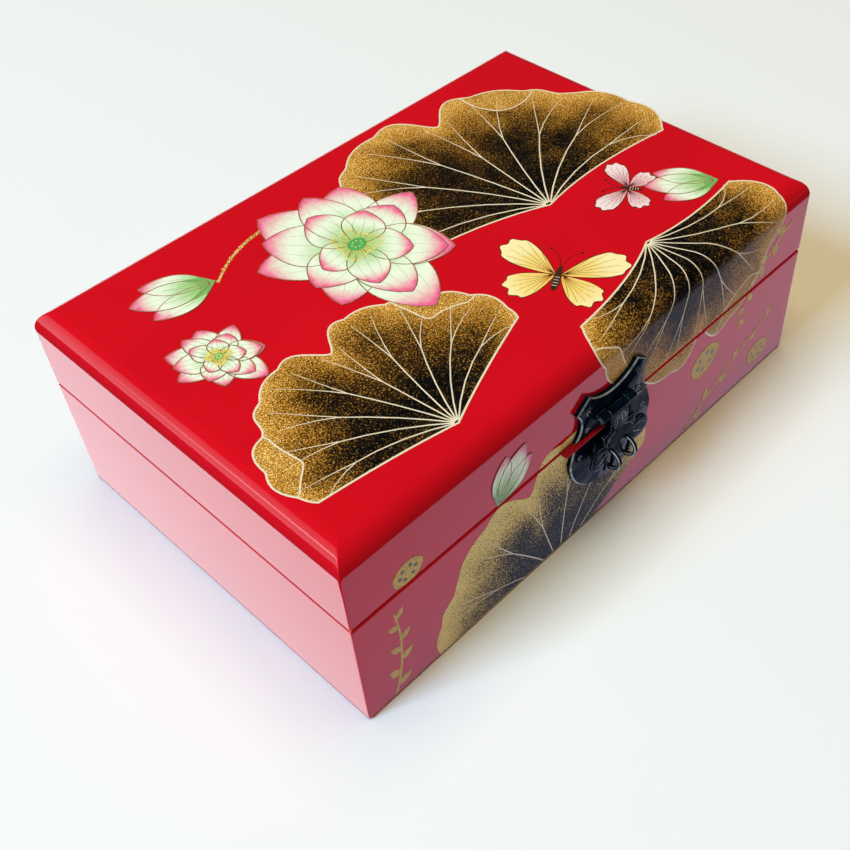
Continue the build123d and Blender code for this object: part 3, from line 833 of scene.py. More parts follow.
class Shell:
    """The lacquered skins of the lid and the base, with softened corners.

    A guard is the distance in millimetres of an extra loop beside a bend, which keeps the flat
    faces next to it flat in the smooth shading.
    """

    EDGE_STEPS = 18
    CORNER_STEPS = 4
    CORNER_GUARD = 0.8
    LEVEL_GUARD = 1.0
    SMOOTH_DEG = 35.0

    def __init__(self, case: Case, lacquer: bpy.types.Material) -> None:
        """Keeps what the skins are made from.

        Args:
            case: the box's sizes.
            lacquer: the red lacquer.
        """
        self.case = case
        self.lacquer = lacquer

    def ring(self, soup: Soup, inset: float, z: float, lean: float = 0.0) -> list[int]:
        """Adds one level loop round the case.

        Args:
            soup: the mesh in the making.
            inset: how far inside the outer faces the loop runs.
            z: its height.
            lean: how far it is moved to the front, in millimetres.

        Returns:
            The loop's point indices.
        """
        half_x, half_y = self.case.half_x - inset, self.case.half_y - inset
        steps, guard, corner = self.CORNER_STEPS, self.CORNER_GUARD, self.case.corner
        loop = []
        for quarter, (side_x, side_y) in enumerate(((1, 1), (-1, 1), (-1, -1), (1, -1))):
            centre_x, centre_y = side_x * (half_x - corner), side_y * (half_y - corner)
            start = quarter * math.pi / 2
            turns = [start + k * math.pi / 2 / steps for k in range(steps + 1)]
            along = [(centre_x + corner * math.cos(turn), centre_y + corner * math.sin(turn))
                     for turn in turns]
            before = (along[0][0] + guard * math.sin(start), along[0][1] - guard * math.cos(start))
            end = start + math.pi / 2
            after = (along[-1][0] - guard * math.sin(end), along[-1][1] + guard * math.cos(end))
            loop += [soup.add((x, y - lean, z)) for x, y in (before, *along, after)]
        return loop

    def lid(self) -> None:
        """Adds the lid's skin: round edges above, a crisp arris below, open underneath."""
        case, guard = self.case, self.LEVEL_GUARD
        inner, radius, foot = case.board, case.edge_radius, case.lid_bottom
        levels = [
            (inner, case.rail_top),
            (inner, case.rail_top - guard),
            (inner, foot + case.arris),
            (inner - case.arris, foot),
            (case.arris, foot),
            (0.0, foot + case.arris),
            (0.0, foot + case.arris + guard),
            (0.0, case.top - radius - guard),
        ]
        for k in range(self.EDGE_STEPS + 1):
            angle = math.pi / 2 * k / self.EDGE_STEPS
            levels.append((radius * (1 - math.cos(angle)), case.top - radius * (1 - math.sin(angle))))
        levels.append((radius + guard, case.top))
        soup = Soup()
        rings = [self.ring(soup, inset, z) for inset, z in levels]
        soup.tube(rings, closed=False)
        piece = soup.build("lid_lacquer_skin", self.lacquer, self.SMOOTH_DEG)
        rails = [f"lid_{side}_rail" for side in ("front", "rear", "left", "right")]
        enrol(piece, Body.LID, "lacquer", "lid_top_panel", *rails)

    def base(self) -> None:
        """Adds the base's skin: a closed band with small arrises."""
        case, guard = self.case, self.LEVEL_GUARD
        inner, foot, rim = case.board, case.base_bottom, case.base_top
        levels = [
            (0.0, foot + case.arris, 0.0),
            (0.0, foot + case.arris + guard, 0.0),
            (0.0, rim - case.brow - guard, 0.0),
            (0.0, rim - case.brow, 0.0),
            (case.brow, rim, case.offset),
            (inner, rim, 0.0),
            (inner, rim - guard, 0.0),
            (inner, foot + guard, 0.0),
            (inner, foot, 0.0),
            (case.arris, foot, 0.0),
        ]
        soup = Soup()
        rings = [self.ring(soup, inset, z, lean) for inset, z, lean in levels]
        soup.tube(rings, closed=True)
        piece = soup.build("base_lacquer_skin", self.lacquer, self.SMOOTH_DEG)
        walls = [f"base_{side}_wall" for side in ("front", "rear", "left", "right")]
        enrol(piece, Body.BASE, "lacquer", *walls)


class Skin:
    """The painted surface: over the top, round the front edge and down the front.

    A place on it is u, to the right, and w, forwards from the middle of the top and then down.
    """

    SLACK = 1e-6

    def __init__(self, case: Case) -> None:
        """Works out where the surface turns.

        Args:
            case: the box's sizes.
        """
        self.case = case
        self.flat = case.half_y - case.edge_radius
        self.front = self.flat + case.edge_radius * math.pi / 2
        self.drop = case.top - case.edge_radius
        self.lid_edge = self.front + self.drop - case.lid_bottom - case.arris
        self.base_edge = self.front + self.drop - case.base_top + case.brow
        self.foot = self.front + self.drop - case.base_bottom - case.arris

    def point(self, u: float, w: float, lift: float) -> Place:
        """Finds a place of the skin in space.

        Args:
            u: millimetres to the right.
            w: millimetres forwards and down.
            lift: height above the lacquer.

        Returns:
            The place in millimetres.
        """
        radius = self.case.edge_radius
        if w <= self.flat:
            return (u, -w, self.case.top + lift)
        if w < self.front:
            angle = (w - self.flat) / radius
            reach = radius + lift
            return (u, -self.flat - reach * math.sin(angle), self.drop + reach * math.cos(angle))
        return (u, -self.case.half_y - lift, self.drop - (w - self.front))

    def body(self, w: float) -> Body | None:
        """Finds the body that carries a place.

        Args:
            w: millimetres forwards and down.

        Returns:
            The body, or None in the joint and below the foot.
        """
        if w <= self.lid_edge + self.SLACK:
            return Body.LID
        if self.base_edge - self.SLACK <= w <= self.foot:
            return Body.BASE
        return None


@dataclass(frozen=True)
class Placing:
    """Where a motif stands: its own x runs right and y up the picture."""

    u: float
    w: float
    turn_deg: float = 0.0
    size: float = 1.0

    def at(self, x: float, y: float) -> Point:
        """Finds a place of the motif on the skin.

        Args:
            x: the motif's own x.
            y: its own y.

        Returns:
            The place as u and w.
        """
        angle = math.radians(self.turn_deg)
        right = x * math.cos(angle) - y * math.sin(angle)
        up = x * math.sin(angle) + y * math.cos(angle)
        return (self.u + self.size * right, self.w - self.size * up)

    def local(self, u: float, w: float) -> Point:
        """Finds what place of the motif lies at a place on the skin, the reverse of at.

        Args:
            u: millimetres to the right.
            w: millimetres forwards and down.

        Returns:
            The motif's own x and y.
        """
        angle = math.radians(self.turn_deg)
        cosine, sine = math.cos(angle), math.sin(angle)
        right = (u - self.u) / self.size
        up = (self.w - w) / self.size
        return (right * cosine + up * sine, up * cosine - right * sine)


def spaced(points: Sequence[Point], step: float, closed: bool) -> list[Point]:
    """Adds points so that no stretch is longer than step.

    Args:
        points: the corners.
        step: the longest stretch left.
        closed: whether the last point joins the first.

    Returns:
        The denser list.
    """
    ends = list(points[1:]) + ([points[0]] if closed else [])
    out = []
    for (u0, w0), (u1, w1) in zip(points, ends):
        parts = max(1, math.ceil(math.hypot(u1 - u0, w1 - w0) / step))
        out += [(u0 + (u1 - u0) * k / parts, w0 + (w1 - w0) * k / parts) for k in range(parts)]
    if not closed:
        out.append(points[-1])
    return out


def bent(first: Point, control: Point, last: Point, steps: int = 10) -> list[Point]:
    """Bends a line towards a point beside it, as a curve of the second degree.

    Args:
        first: where the line starts.
        control: the point that it leans towards.
        last: where it ends.
        steps: the number of stretches.

    Returns:
        The curve's points.
    """
    out = []
    for k in range(steps + 1):
        t = k / steps
        a, b, c = (1 - t) ** 2, 2 * t * (1 - t), t * t
        x = a * first[0] + b * control[0] + c * last[0]
        y = a * first[1] + b * control[1] + c * last[1]
        out.append((x, y))
    return out


class BeadRow:
    """Raised beads along paths on the lid, set out with Geometry Nodes.

    The sizes are the tree's named inputs: Spacing and Radius in metres, Flatness as a bead's height
    by its width, Least as the smallest bead by the largest, and the Seed of their random sizes.
    """

    SIZES = {"Spacing": 0.0024, "Radius": 0.00036, "Flatness": 0.45, "Least": 0.75, "Seed": 7}

    def __init__(self, paint: bpy.types.Material) -> None:
        """Keeps the beads' paint.

        Args:
            paint: their material.
        """
        self.paint = paint

    def tree(self) -> bpy.types.NodeTree:
        """Builds the tree: even points on the paths, a flattened bead on each, made real and painted.

        Returns:
            The tree.
        """
        tree = bpy.data.node_groups.new("bead_row", "GeometryNodeTree")
        tree.interface.new_socket("Paths", in_out="INPUT", socket_type="NodeSocketGeometry")
        for name, value in self.SIZES.items():
            kind = "NodeSocketInt" if isinstance(value, int) else "NodeSocketFloat"
            tree.interface.new_socket(name, in_out="INPUT", socket_type=kind)
        tree.interface.new_socket("Beads", in_out="OUTPUT", socket_type="NodeSocketGeometry")

        def node(kind: str, **inputs: Any) -> bpy.types.Node:
            """Adds a node.

            Args:
                kind: Blender's name of the node type.
                inputs: a value or another node's socket for each input, by identifier.

            Returns:
                The node.
            """
            made = tree.nodes.new(kind)
            sockets = {socket.identifier: socket for socket in made.inputs}
            for name, value in inputs.items():
                socket = sockets[name]
                if isinstance(value, bpy.types.NodeSocket):
                    tree.links.new(value, socket)
                else:
                    socket.default_value = value
            return made

        given = tree.nodes.new("NodeGroupInput").outputs
        curve = node("GeometryNodeMeshToCurve", Mesh=given["Paths"])
        even = tree.nodes.new("GeometryNodeResampleCurve")
        even.mode = "LENGTH"
        tree.links.new(curve.outputs[0], even.inputs["Curve"])
        tree.links.new(given["Spacing"], even.inputs["Length"])
        press = node("ShaderNodeCombineXYZ", X=1.0, Y=1.0, Z=given["Flatness"])
        ball = node("GeometryNodeMeshIcoSphere", Radius=given["Radius"], Subdivisions=2)
        bead = node("GeometryNodeTransform", Geometry=ball.outputs["Mesh"], Scale=press.outputs[0])
        vary = node("FunctionNodeRandomValue", Min_001=given["Least"], Max_001=1.0, Seed=given["Seed"])
        rows = node("GeometryNodeInstanceOnPoints", Points=even.outputs[0], Instance=bead.outputs[0],
                    Scale=vary.outputs[1])
        real = node("GeometryNodeRealizeInstances", Geometry=rows.outputs[0])
        done = node("GeometryNodeSetMaterial", Geometry=real.outputs[0], Material=self.paint)
        tree.links.new(done.outputs[0], tree.nodes.new("NodeGroupOutput").inputs["Beads"])
        return tree

    def lay(self, name: str, rows: Sequence[Sequence[Sequence[float]]]) -> bpy.types.Object:
        """Lays beads along every row.

        Args:
            name: the piece's name.
            rows: the paths in millimetres.

        Returns:
            The piece, as a plain mesh.
        """
        mesh = bpy.data.meshes.new(name)
        places, edges = [], []
        for row in rows:
            edges += [(len(places) + k, len(places) + k + 1) for k in range(len(row) - 1)]
            places += [tuple(c * MM for c in place) for place in row]
        mesh.from_pydata(places, edges, [])
        piece = bpy.data.objects.new(name, mesh)
        bpy.context.scene.collection.objects.link(piece)
        modifier = piece.modifiers.new("beads", "NODES")
        modifier.node_group = self.tree()
        for item in modifier.node_group.interface.items_tree:
            if item.name in self.SIZES:
                modifier[item.identifier] = self.SIZES[item.name]
        bpy.context.view_layer.update()
        ready = piece.evaluated_get(bpy.context.evaluated_depsgraph_get())
        plain = bpy.data.meshes.new_from_object(ready)
        plain.materials.clear()
        plain.materials.append(self.paint)
        plain.polygons.foreach_set("material_index", [0] * len(plain.polygons))
        piece.modifiers.remove(modifier)
        piece.data = plain
        return piece


class Painter:
    """Lays paint on the skin as thin closed solids, gathered by body and pigment.

    Lengths are in millimetres. A line's crest rises by a share of its half width, up to a limit.
    """

    COAT = 0.03
    STEP = 1.2
    MERGE = 1e-5
    CREST_SHARE = 0.35
    CREST_LIMIT = 0.07
    DOT_SIDES = 10

    def __init__(self, skin: Skin) -> None:
        """Starts with no paint.

        Args:
            skin: the surface that is painted.
        """
        self.skin = skin
        self.soups: dict[tuple[Body, Pigment], Soup] = {}
        self.rows: list[list[Place]] = []

    def soup(self, body: Body, pigment: Pigment) -> Soup:
        """The mesh in the making for a body and a pigment."""
        return self.soups.setdefault((body, pigment), Soup())

    def inner_points(self, outline: Sequence[Point], grid: float) -> list[Point]:
        """Sets out a grid over an outline's reach, closer together round the front edge.

        Args:
            outline: the closed outline's places.
            grid: the spacing where the skin is flat.

        Returns:
            The grid's places, also those outside the outline.
        """
        us, ws = [p[0] for p in outline], [p[1] for p in outline]
        out = []
        w = min(ws) + grid / 2
        while w < max(ws):
            bends = self.skin.flat - self.STEP <= w <= self.skin.front + self.STEP
            across = min(grid, 2 * self.STEP) if bends else grid
            count = max(1, int((max(us) - min(us)) / across))
            out += [(min(us) + across * (k + 0.5), w) for k in range(count)]
            w += min(grid, self.STEP) if self.skin.flat - grid - self.STEP < w < self.skin.front else grid
        return out

    def fill(self, pigment: Pigment, outline: Sequence[Point], lift: float,
             tone: Callable[[float, float], float], grid: float = 5.0) -> None:
        """Paints the inside of an outline.

        Args:
            pigment: the paint.
            outline: the closed outline's places.
            lift: height of the painted face above the lacquer.
            tone: the paint's tone at a place.
            grid: spacing of the places inside.
        """
        edge = spaced(outline, self.STEP, closed=True)
        if sum(a[0] * b[1] - b[0] * a[1] for a, b in zip(edge, edge[1:] + edge[:1])) < 0:
            edge.reverse()
        us, ws = [p[0] for p in edge], [p[1] for p in edge]
        points = edge + self.inner_points(edge, grid)
        cuts = []
        for w in (self.skin.lid_edge, self.skin.base_edge, self.skin.foot):
            if min(ws) < w < max(ws):
                cuts.append((len(points), len(points) + 1))
                points += [(min(us) - 1, w), (max(us) + 1, w)]
        ring = list(range(len(edge)))
        flat = [Vector(p) for p in points]
        found, _, triangles, _, _, owners = delaunay_2d_cdt(flat, cuts, [ring], 0, self.MERGE, True)
        for body in (Body.LID, Body.BASE):
            kept = []
            for triangle, owner in zip(triangles, owners):
                middle = sum(found[i].y for i in triangle) / 3
                if owner and self.skin.body(middle) is body:
                    kept.append(triangle)
            if kept:
                self.slab(self.soup(body, pigment), found, kept, lift, tone)

    def slab(self, soup: Soup, places: Sequence[Vector], triangles: Sequence[Sequence[int]], lift: float,
             tone: Callable[[float, float], float]) -> None:
        """Adds triangles of the skin as a thin closed solid.

        Args:
            soup: the mesh in the making.
            places: the places that the triangles use.
            triangles: the triangles.
            lift: height of the upper face above the lacquer.
            tone: the paint's tone at a place.
        """
        upper: dict[int, int] = {}
        lower: dict[int, int] = {}
        for index in sorted({i for triangle in triangles for i in triangle}):
            u, w = places[index]
            value = tone(u, w)
            upper[index] = soup.add(self.skin.point(u, w, lift), value)
            lower[index] = soup.add(self.skin.point(u, w, lift - self.COAT), value)
        edges: dict[tuple[int, int], None] = {}
        for a, b, c in triangles:
            soup.faces.append((upper[a], upper[c], upper[b]))
            soup.faces.append((lower[a], lower[b], lower[c]))
            edges.update(dict.fromkeys(((a, b), (b, c), (c, a))))
        for a, b in edges:
            if (b, a) not in edges:
                soup.faces.append((upper[a], upper[b], lower[b], lower[a]))

    def runs(self, path: Sequence[Point]) -> list[tuple[Body, list[int]]]:
        """Splits a path where it crosses from one body to the other.

        Args:
            path: the places along it.

        Returns:
            Each stretch's body and the indices of its places.
        """
        found: list[tuple[Body, list[int]]] = []
        for index, (_, w) in enumerate(path):
            body = self.skin.body(w)
            if body is None:
                continue
            if found and found[-1][0] is body and found[-1][1][-1] == index - 1:
                found[-1][1].append(index)
            else:
                found.append((body, [index]))
        return found

    def line(self, pigment: Pigment, points: Sequence[Point], width: float, lift: float,
             taper: float = 1.0, closed: bool = False, tone: float = 0.0) -> None:
        """Draws a raised line.

        Args:
            pigment: the paint.
            points: the places that it runs through.
            width: its width at the start.
            lift: height of its foot above the lacquer.
            taper: its width at the end, as a share of that at the start.
            closed: whether it closes on itself.
            tone: the paint's tone.
        """
        path = spaced(points, self.STEP, closed)
        if closed:
            path = path + [path[0]]
        last = len(path) - 1
        for body, run in self.runs(path):
            if len(run) < 2:
                continue
            soup = self.soup(body, pigment)
            whole = closed and len(run) == len(path)
            rings = []
            for index in run[:-1] if whole else run:
                before = path[index - 1] if index > 0 else (path[-2] if closed else path[0])
                after = path[index + 1] if index < last else (path[1] if closed else path[-1])
                du, dw = after[0] - before[0], after[1] - before[1]
                length = math.hypot(du, dw) or 1.0
                nu, nw = -dw / length, du / length
                half = width / 2 * (1 + (taper - 1) * index / last)
                u, w = path[index]
                crest = min(self.CREST_LIMIT, self.CREST_SHARE * half)
                profile = ((-half, 0.0), (-half * 0.5, crest), (half * 0.5, crest), (half, 0.0))
                rings.append([
                    soup.add(self.skin.point(u + nu * side, w + nw * side, lift + rise), tone)
                    for side, rise in profile
                ])
            soup.tube(rings, closed=whole)

    def dot(self, pigment: Pigment, place: Point, radius: float, lift: float, tone: float = 0.0) -> None:
        """Paints a small round dot.

        Args:
            pigment: the paint.
            place: its middle.
            radius: its radius.
            lift: height of the painted face above the lacquer.
            tone: the paint's tone.
        """
        turns = [k * math.pi / (self.DOT_SIDES / 2) for k in range(self.DOT_SIDES)]
        rim = [(place[0] + radius * math.cos(turn), place[1] + radius * math.sin(turn)) for turn in turns]
        self.fill(pigment, rim, lift, lambda u, w: tone, grid=4 * radius)

    def finish(self, paints: dict[Pigment, bpy.types.Material]) -> None:
        """Turns the paint into pieces, one for each body and pigment.

        Args:
            paints: the material of each pigment.
        """
        for (body, pigment), soup in self.soups.items():
            piece = soup.build(f"{body.value}_{pigment.value}", paints[pigment])
            enrol(piece, body, "lacquer")
        enrol(BeadRow(paints[Pigment.CREAM]).lay("lid_stem_beads", self.rows), Body.LID, "lacquer")


@dataclass(frozen=True)
class FanLeaf:
    """A fan-shaped leaf with a notched, scalloped margin, gold at its rim and dark at its heart.

    Angles are in radians from the middle of the leaf, as seen from its stalk. The lips are the
    stretches of margin that fold over, and a rim of 0 leaves the margin without a line.
    """

    SPAN = 60.0

    place: Placing
    half_angle: float = 1.45
    rim: float = 0.75
    scallops: float = 13.0
    notch: float = 0.17
    lips: tuple[tuple[float, float], ...] = ((-1.1, -0.55), (0.75, 1.2))
    veins: int = 9
    lift: float = 0.08
    dust: Pigment = Pigment.LEAF

    def reach(self, angle: float) -> float:
        """Works out how far the margin is from the stalk.

        Args:
            angle: the direction from the stalk.

        Returns:
            The distance in millimetres: notched in the middle, nicked beside it, scalloped and
            drawn in at the sides.
        """
        share = abs(angle) / self.half_angle
        notch = self.notch * math.exp(-((angle / 0.11) ** 2))
        nick = 0.05 * math.exp(-((share - 0.52) / 0.06) ** 2)
        ripple = 1 + 0.026 * abs(math.sin(self.scallops * angle)) + 0.025 * math.cos(3.3 * angle + 0.6)
        return self.SPAN * (1 - notch - nick) * ripple * (1 - 0.20 * min(share, 1.0) ** 7)

    def spot(self, angle: float, share: float) -> Point:
        """A place of the leaf at an angle from its middle and a share of its reach."""
        reach = self.reach(angle) * share
        return self.place.at(reach * math.sin(angle), reach * math.cos(angle))

    def tone(self, u: float, w: float) -> float:
        """Works out how near the margin a place is.

        Args:
            u: millimetres to the right.
            w: millimetres forwards and down.

        Returns:
            0 at the stalk and 1 at the margin.
        """
        x, y = self.place.local(u, w)
        angle = math.atan2(x, y)
        within = max(-self.half_angle, min(self.half_angle, angle))
        near = min(1.0, math.hypot(x, y) / self.reach(within))
        side = (abs(angle) / self.half_angle) ** 6
        return min(1.0, max(near ** 2.8, 0.6 * side * near))

    def outline(self) -> list[Point]:
        """Draws the leaf's outline.

        Returns:
            Its places, round the margin and back by the stalk.
        """
        count = 130
        margin = [self.spot(self.half_angle * (2 * k / count - 1), 1.0) for k in range(count + 1)]
        stalk = self.place.at(0.0, 0.0)
        right = bent(margin[-1], self.place.at(20.0, 7.0), stalk)
        left = bent(stalk, self.place.at(-20.0, 7.0), margin[0])
        return margin + right[1:] + left[1:-1]

    def lip(self, painter: Painter, start: float, end: float) -> None:
        """Paints a stretch of margin that folds over.

        Args:
            painter: the painter.
            start: the angle where it starts.
            end: the angle where it ends.
        """
        count = 24
        angles = [start + (end - start) * k / count for k in range(count + 1)]
        outer = [self.spot(a, 1.0) for a in angles]
        inner = []
        for k, a in enumerate(angles):
            swell = math.sin(math.pi * k / count) ** 0.7
            inner.append(self.spot(a, 1.0 - 0.17 * swell - 0.02 * math.sin(5.0 * a) * swell))
        painter.fill(Pigment.LIP, outer + inner[-2:0:-1], self.lift + 0.04, lambda u, w: 0.75)
        painter.line(Pigment.CREAM, inner, 0.6, self.lift + 0.05)

    def paint(self, painter: Painter) -> None:
        """Paints the leaf, its forked veins, its lips and its rim.

        Args:
            painter: the painter.
        """
        outline = self.outline()
        painter.fill(self.dust, outline, self.lift, self.tone, grid=4.0)
        spread = self.half_angle * 0.055
        width = 0.55 * self.place.size ** 0.5
        for k in range(self.veins):
            middle = self.half_angle * 0.88 * (2 * k / (self.veins - 1) - 1)
            stem = [self.spot(middle * (0.8 + 0.3 * t), t) for t in (0.02, 0.15, 0.3, 0.45, 0.58)]
            painter.line(Pigment.CREAM, stem, width, self.lift + 0.01, taper=0.75)
            for side in (-1, 1):
                fork = [self.spot(middle * (0.8 + 0.3 * t) + side * spread * (t - 0.58) / 0.36, t)
                        for t in (0.58, 0.68, 0.8, 0.88, 0.93)]
                painter.line(Pigment.CREAM, fork, width * 0.75, self.lift + 0.01, taper=0.35)
        for start, end in self.lips:
            self.lip(painter, start, end)
        if self.rim:
            painter.line(Pigment.CREAM, outline, self.rim, self.lift + 0.03, closed=True)


@dataclass(frozen=True)
class Petal:
    """One petal, from its foot at the blossom's heart to its tip.

    The bend is how far its tip leans to the right, and a larger tip is blunter.
    """

    place: Placing
    length: float
    width: float
    bend: float = 0.0
    tip: float = 0.9
    lift: float = 0.1

    def half(self, t: float) -> float:
        """Half the petal's width at a share of its length."""
        return self.width / 2 * math.sin(math.pi * min(1.0, max(0.0, t)) ** self.tip) ** 0.72

    def spine(self, t: float) -> float:
        """How far the middle line leans at a share of the length."""
        return self.bend * t * t

    def tone(self, u: float, w: float) -> float:
        """Works out the tone: green at the foot, pale in the middle, pink at the tip and the edge.

        Args:
            u: millimetres to the right.
            w: millimetres forwards and down.

        Returns:
            The tone, from 0 to 1.
        """
        x, y = self.place.local(u, w)
        t = min(1.0, max(0.0, y / self.length))
        half = max(0.6, self.half(t))
        edge = min(1.0, abs(x - self.spine(t)) / half)
        return min(1.0, 0.96 * t ** 1.6 + 0.2 * edge ** 4 * t)

    def paint(self, painter: Painter) -> None:
        """Paints the petal, its outline and its veins.

        Args:
            painter: the painter.
        """
        steps = 16
        shares = [k / steps for k in range(steps + 1)]
        right = [self.place.at(self.spine(t) + self.half(t), t * self.length) for t in shares]
        left = [self.place.at(self.spine(t) - self.half(t), t * self.length) for t in reversed(shares[1:-1])]
        outline = right + left
        painter.fill(Pigment.PETAL, outline, self.lift, self.tone, grid=2.6)
        painter.line(Pigment.PETAL_LINE, outline, 0.42, self.lift + 0.01, closed=True, tone=0.85)
        for side in (-0.5, 0.0, 0.5):
            vein = [self.place.at(self.spine(t) + side * self.half(t), t * self.length)
                    for t in (0.12, 0.3, 0.5, 0.7, 0.88 - 0.1 * abs(side))]
            painter.line(Pigment.PETAL_LINE, vein, 0.22, self.lift + 0.005, taper=0.4, tone=0.3)


@dataclass(frozen=True)
class Blossom:
    """An open blossom of three rings of petals round a green heart with yellow stamens.

    Each ring is its number of petals, their length and width, the first one's turn in degrees and
    the bluntness of their tips, from the back ring forwards.
    """

    RINGS = (
        (7, 34.0, 20.0, 12.0, 1.0),
        (6, 28.0, 18.5, 38.0, 1.05),
        (5, 19.0, 14.0, 4.0, 1.1),
    )
    STAMENS = 30
    SEEDS = 7

    place: Placing
    lift: float = 0.16

    def paint(self, painter: Painter) -> None:
        """Paints the blossom from its back petals forwards.

        Args:
            painter: the painter.
        """
        lift = self.lift
        for ring, (count, length, width, first, tip) in enumerate(self.RINGS):
            for k in range(count):
                turn = first + 360.0 * k / count
                flatten = 0.80 + 0.20 * math.cos(math.radians(turn)) ** 2
                sway = 1.0 + 0.09 * math.sin(2.7 * k + ring)
                spot = Placing(self.place.u, self.place.w, self.place.turn_deg + turn, self.place.size)
                petal = Petal(spot, length * flatten * sway, width * (0.95 + 0.1 * math.cos(1.9 * k)),
                              3.2 * math.sin(2.1 * k + ring), tip, lift)
                petal.paint(painter)
                lift += 0.02
        self.heart(painter, lift)

    def heart(self, painter: Painter, lift: float) -> None:
        """Paints the stamens and the green heart.

        Args:
            painter: the painter.
            lift: the height above the lacquer to start from.
        """
        for k in range(self.STAMENS):
            angle = 2 * math.pi * k / self.STAMENS
            far = 6.4 + 1.3 * math.sin(7.0 * k)
            tip = self.place.at(far * math.sin(angle), far * math.cos(angle))
            foot = self.place.at(2.0 * math.sin(angle), 2.0 * math.cos(angle))
            painter.line(Pigment.STAMEN, [foot, tip], 0.3, lift, tone=0.3)
            painter.dot(Pigment.STAMEN, tip, 0.55, lift + 0.06, tone=1.0)
        turns = [k * math.pi / 12 for k in range(24)]
        heart = [self.place.at(3.1 * math.cos(turn), 2.7 * math.sin(turn)) for turn in turns]
        painter.fill(Pigment.HEART, heart, lift + 0.07, lambda u, w: 0.35, grid=2.0)
        for k in range(self.SEEDS):
            angle = 2 * math.pi * k / self.SEEDS
            spot = self.place.at(1.6 * math.cos(angle), 1.4 * math.sin(angle))
            painter.dot(Pigment.HEART, spot, 0.42, lift + 0.09, tone=1.0)


@dataclass(frozen=True)
class Bud:
    """A half-open bud of three petals on two green sepals.

    Each petal is its turn in degrees, length, width and bend, from the back one forwards. The sepal
    is the outline of the right one.
    """

    PETALS = ((28.0, 19.0, 8.5, 2.0), (-28.0, 19.0, 8.5, -2.0), (0.0, 22.0, 10.5, 0.8))
    SEPAL = ((0.0, -1.5), (3.6, 1.5), (4.6, 7.0), (2.0, 3.6), (0.0, 3.0))

    place: Placing
    lift: float = 0.2

    def paint(self, painter: Painter) -> None:
        """Paints the bud.

        Args:
            painter: the painter.
        """
        lift = self.lift
        for turn, length, width, bend in self.PETALS:
            spot = Placing(self.place.u, self.place.w, self.place.turn_deg + turn, self.place.size)
            Petal(spot, length, width, bend, 1.05, lift).paint(painter)
            lift += 0.02
        for side in (-1, 1):
            sepal = [self.place.at(side * x, y) for x, y in self.SEPAL]
            painter.fill(Pigment.HEART, sepal, lift, lambda u, w: 0.6)


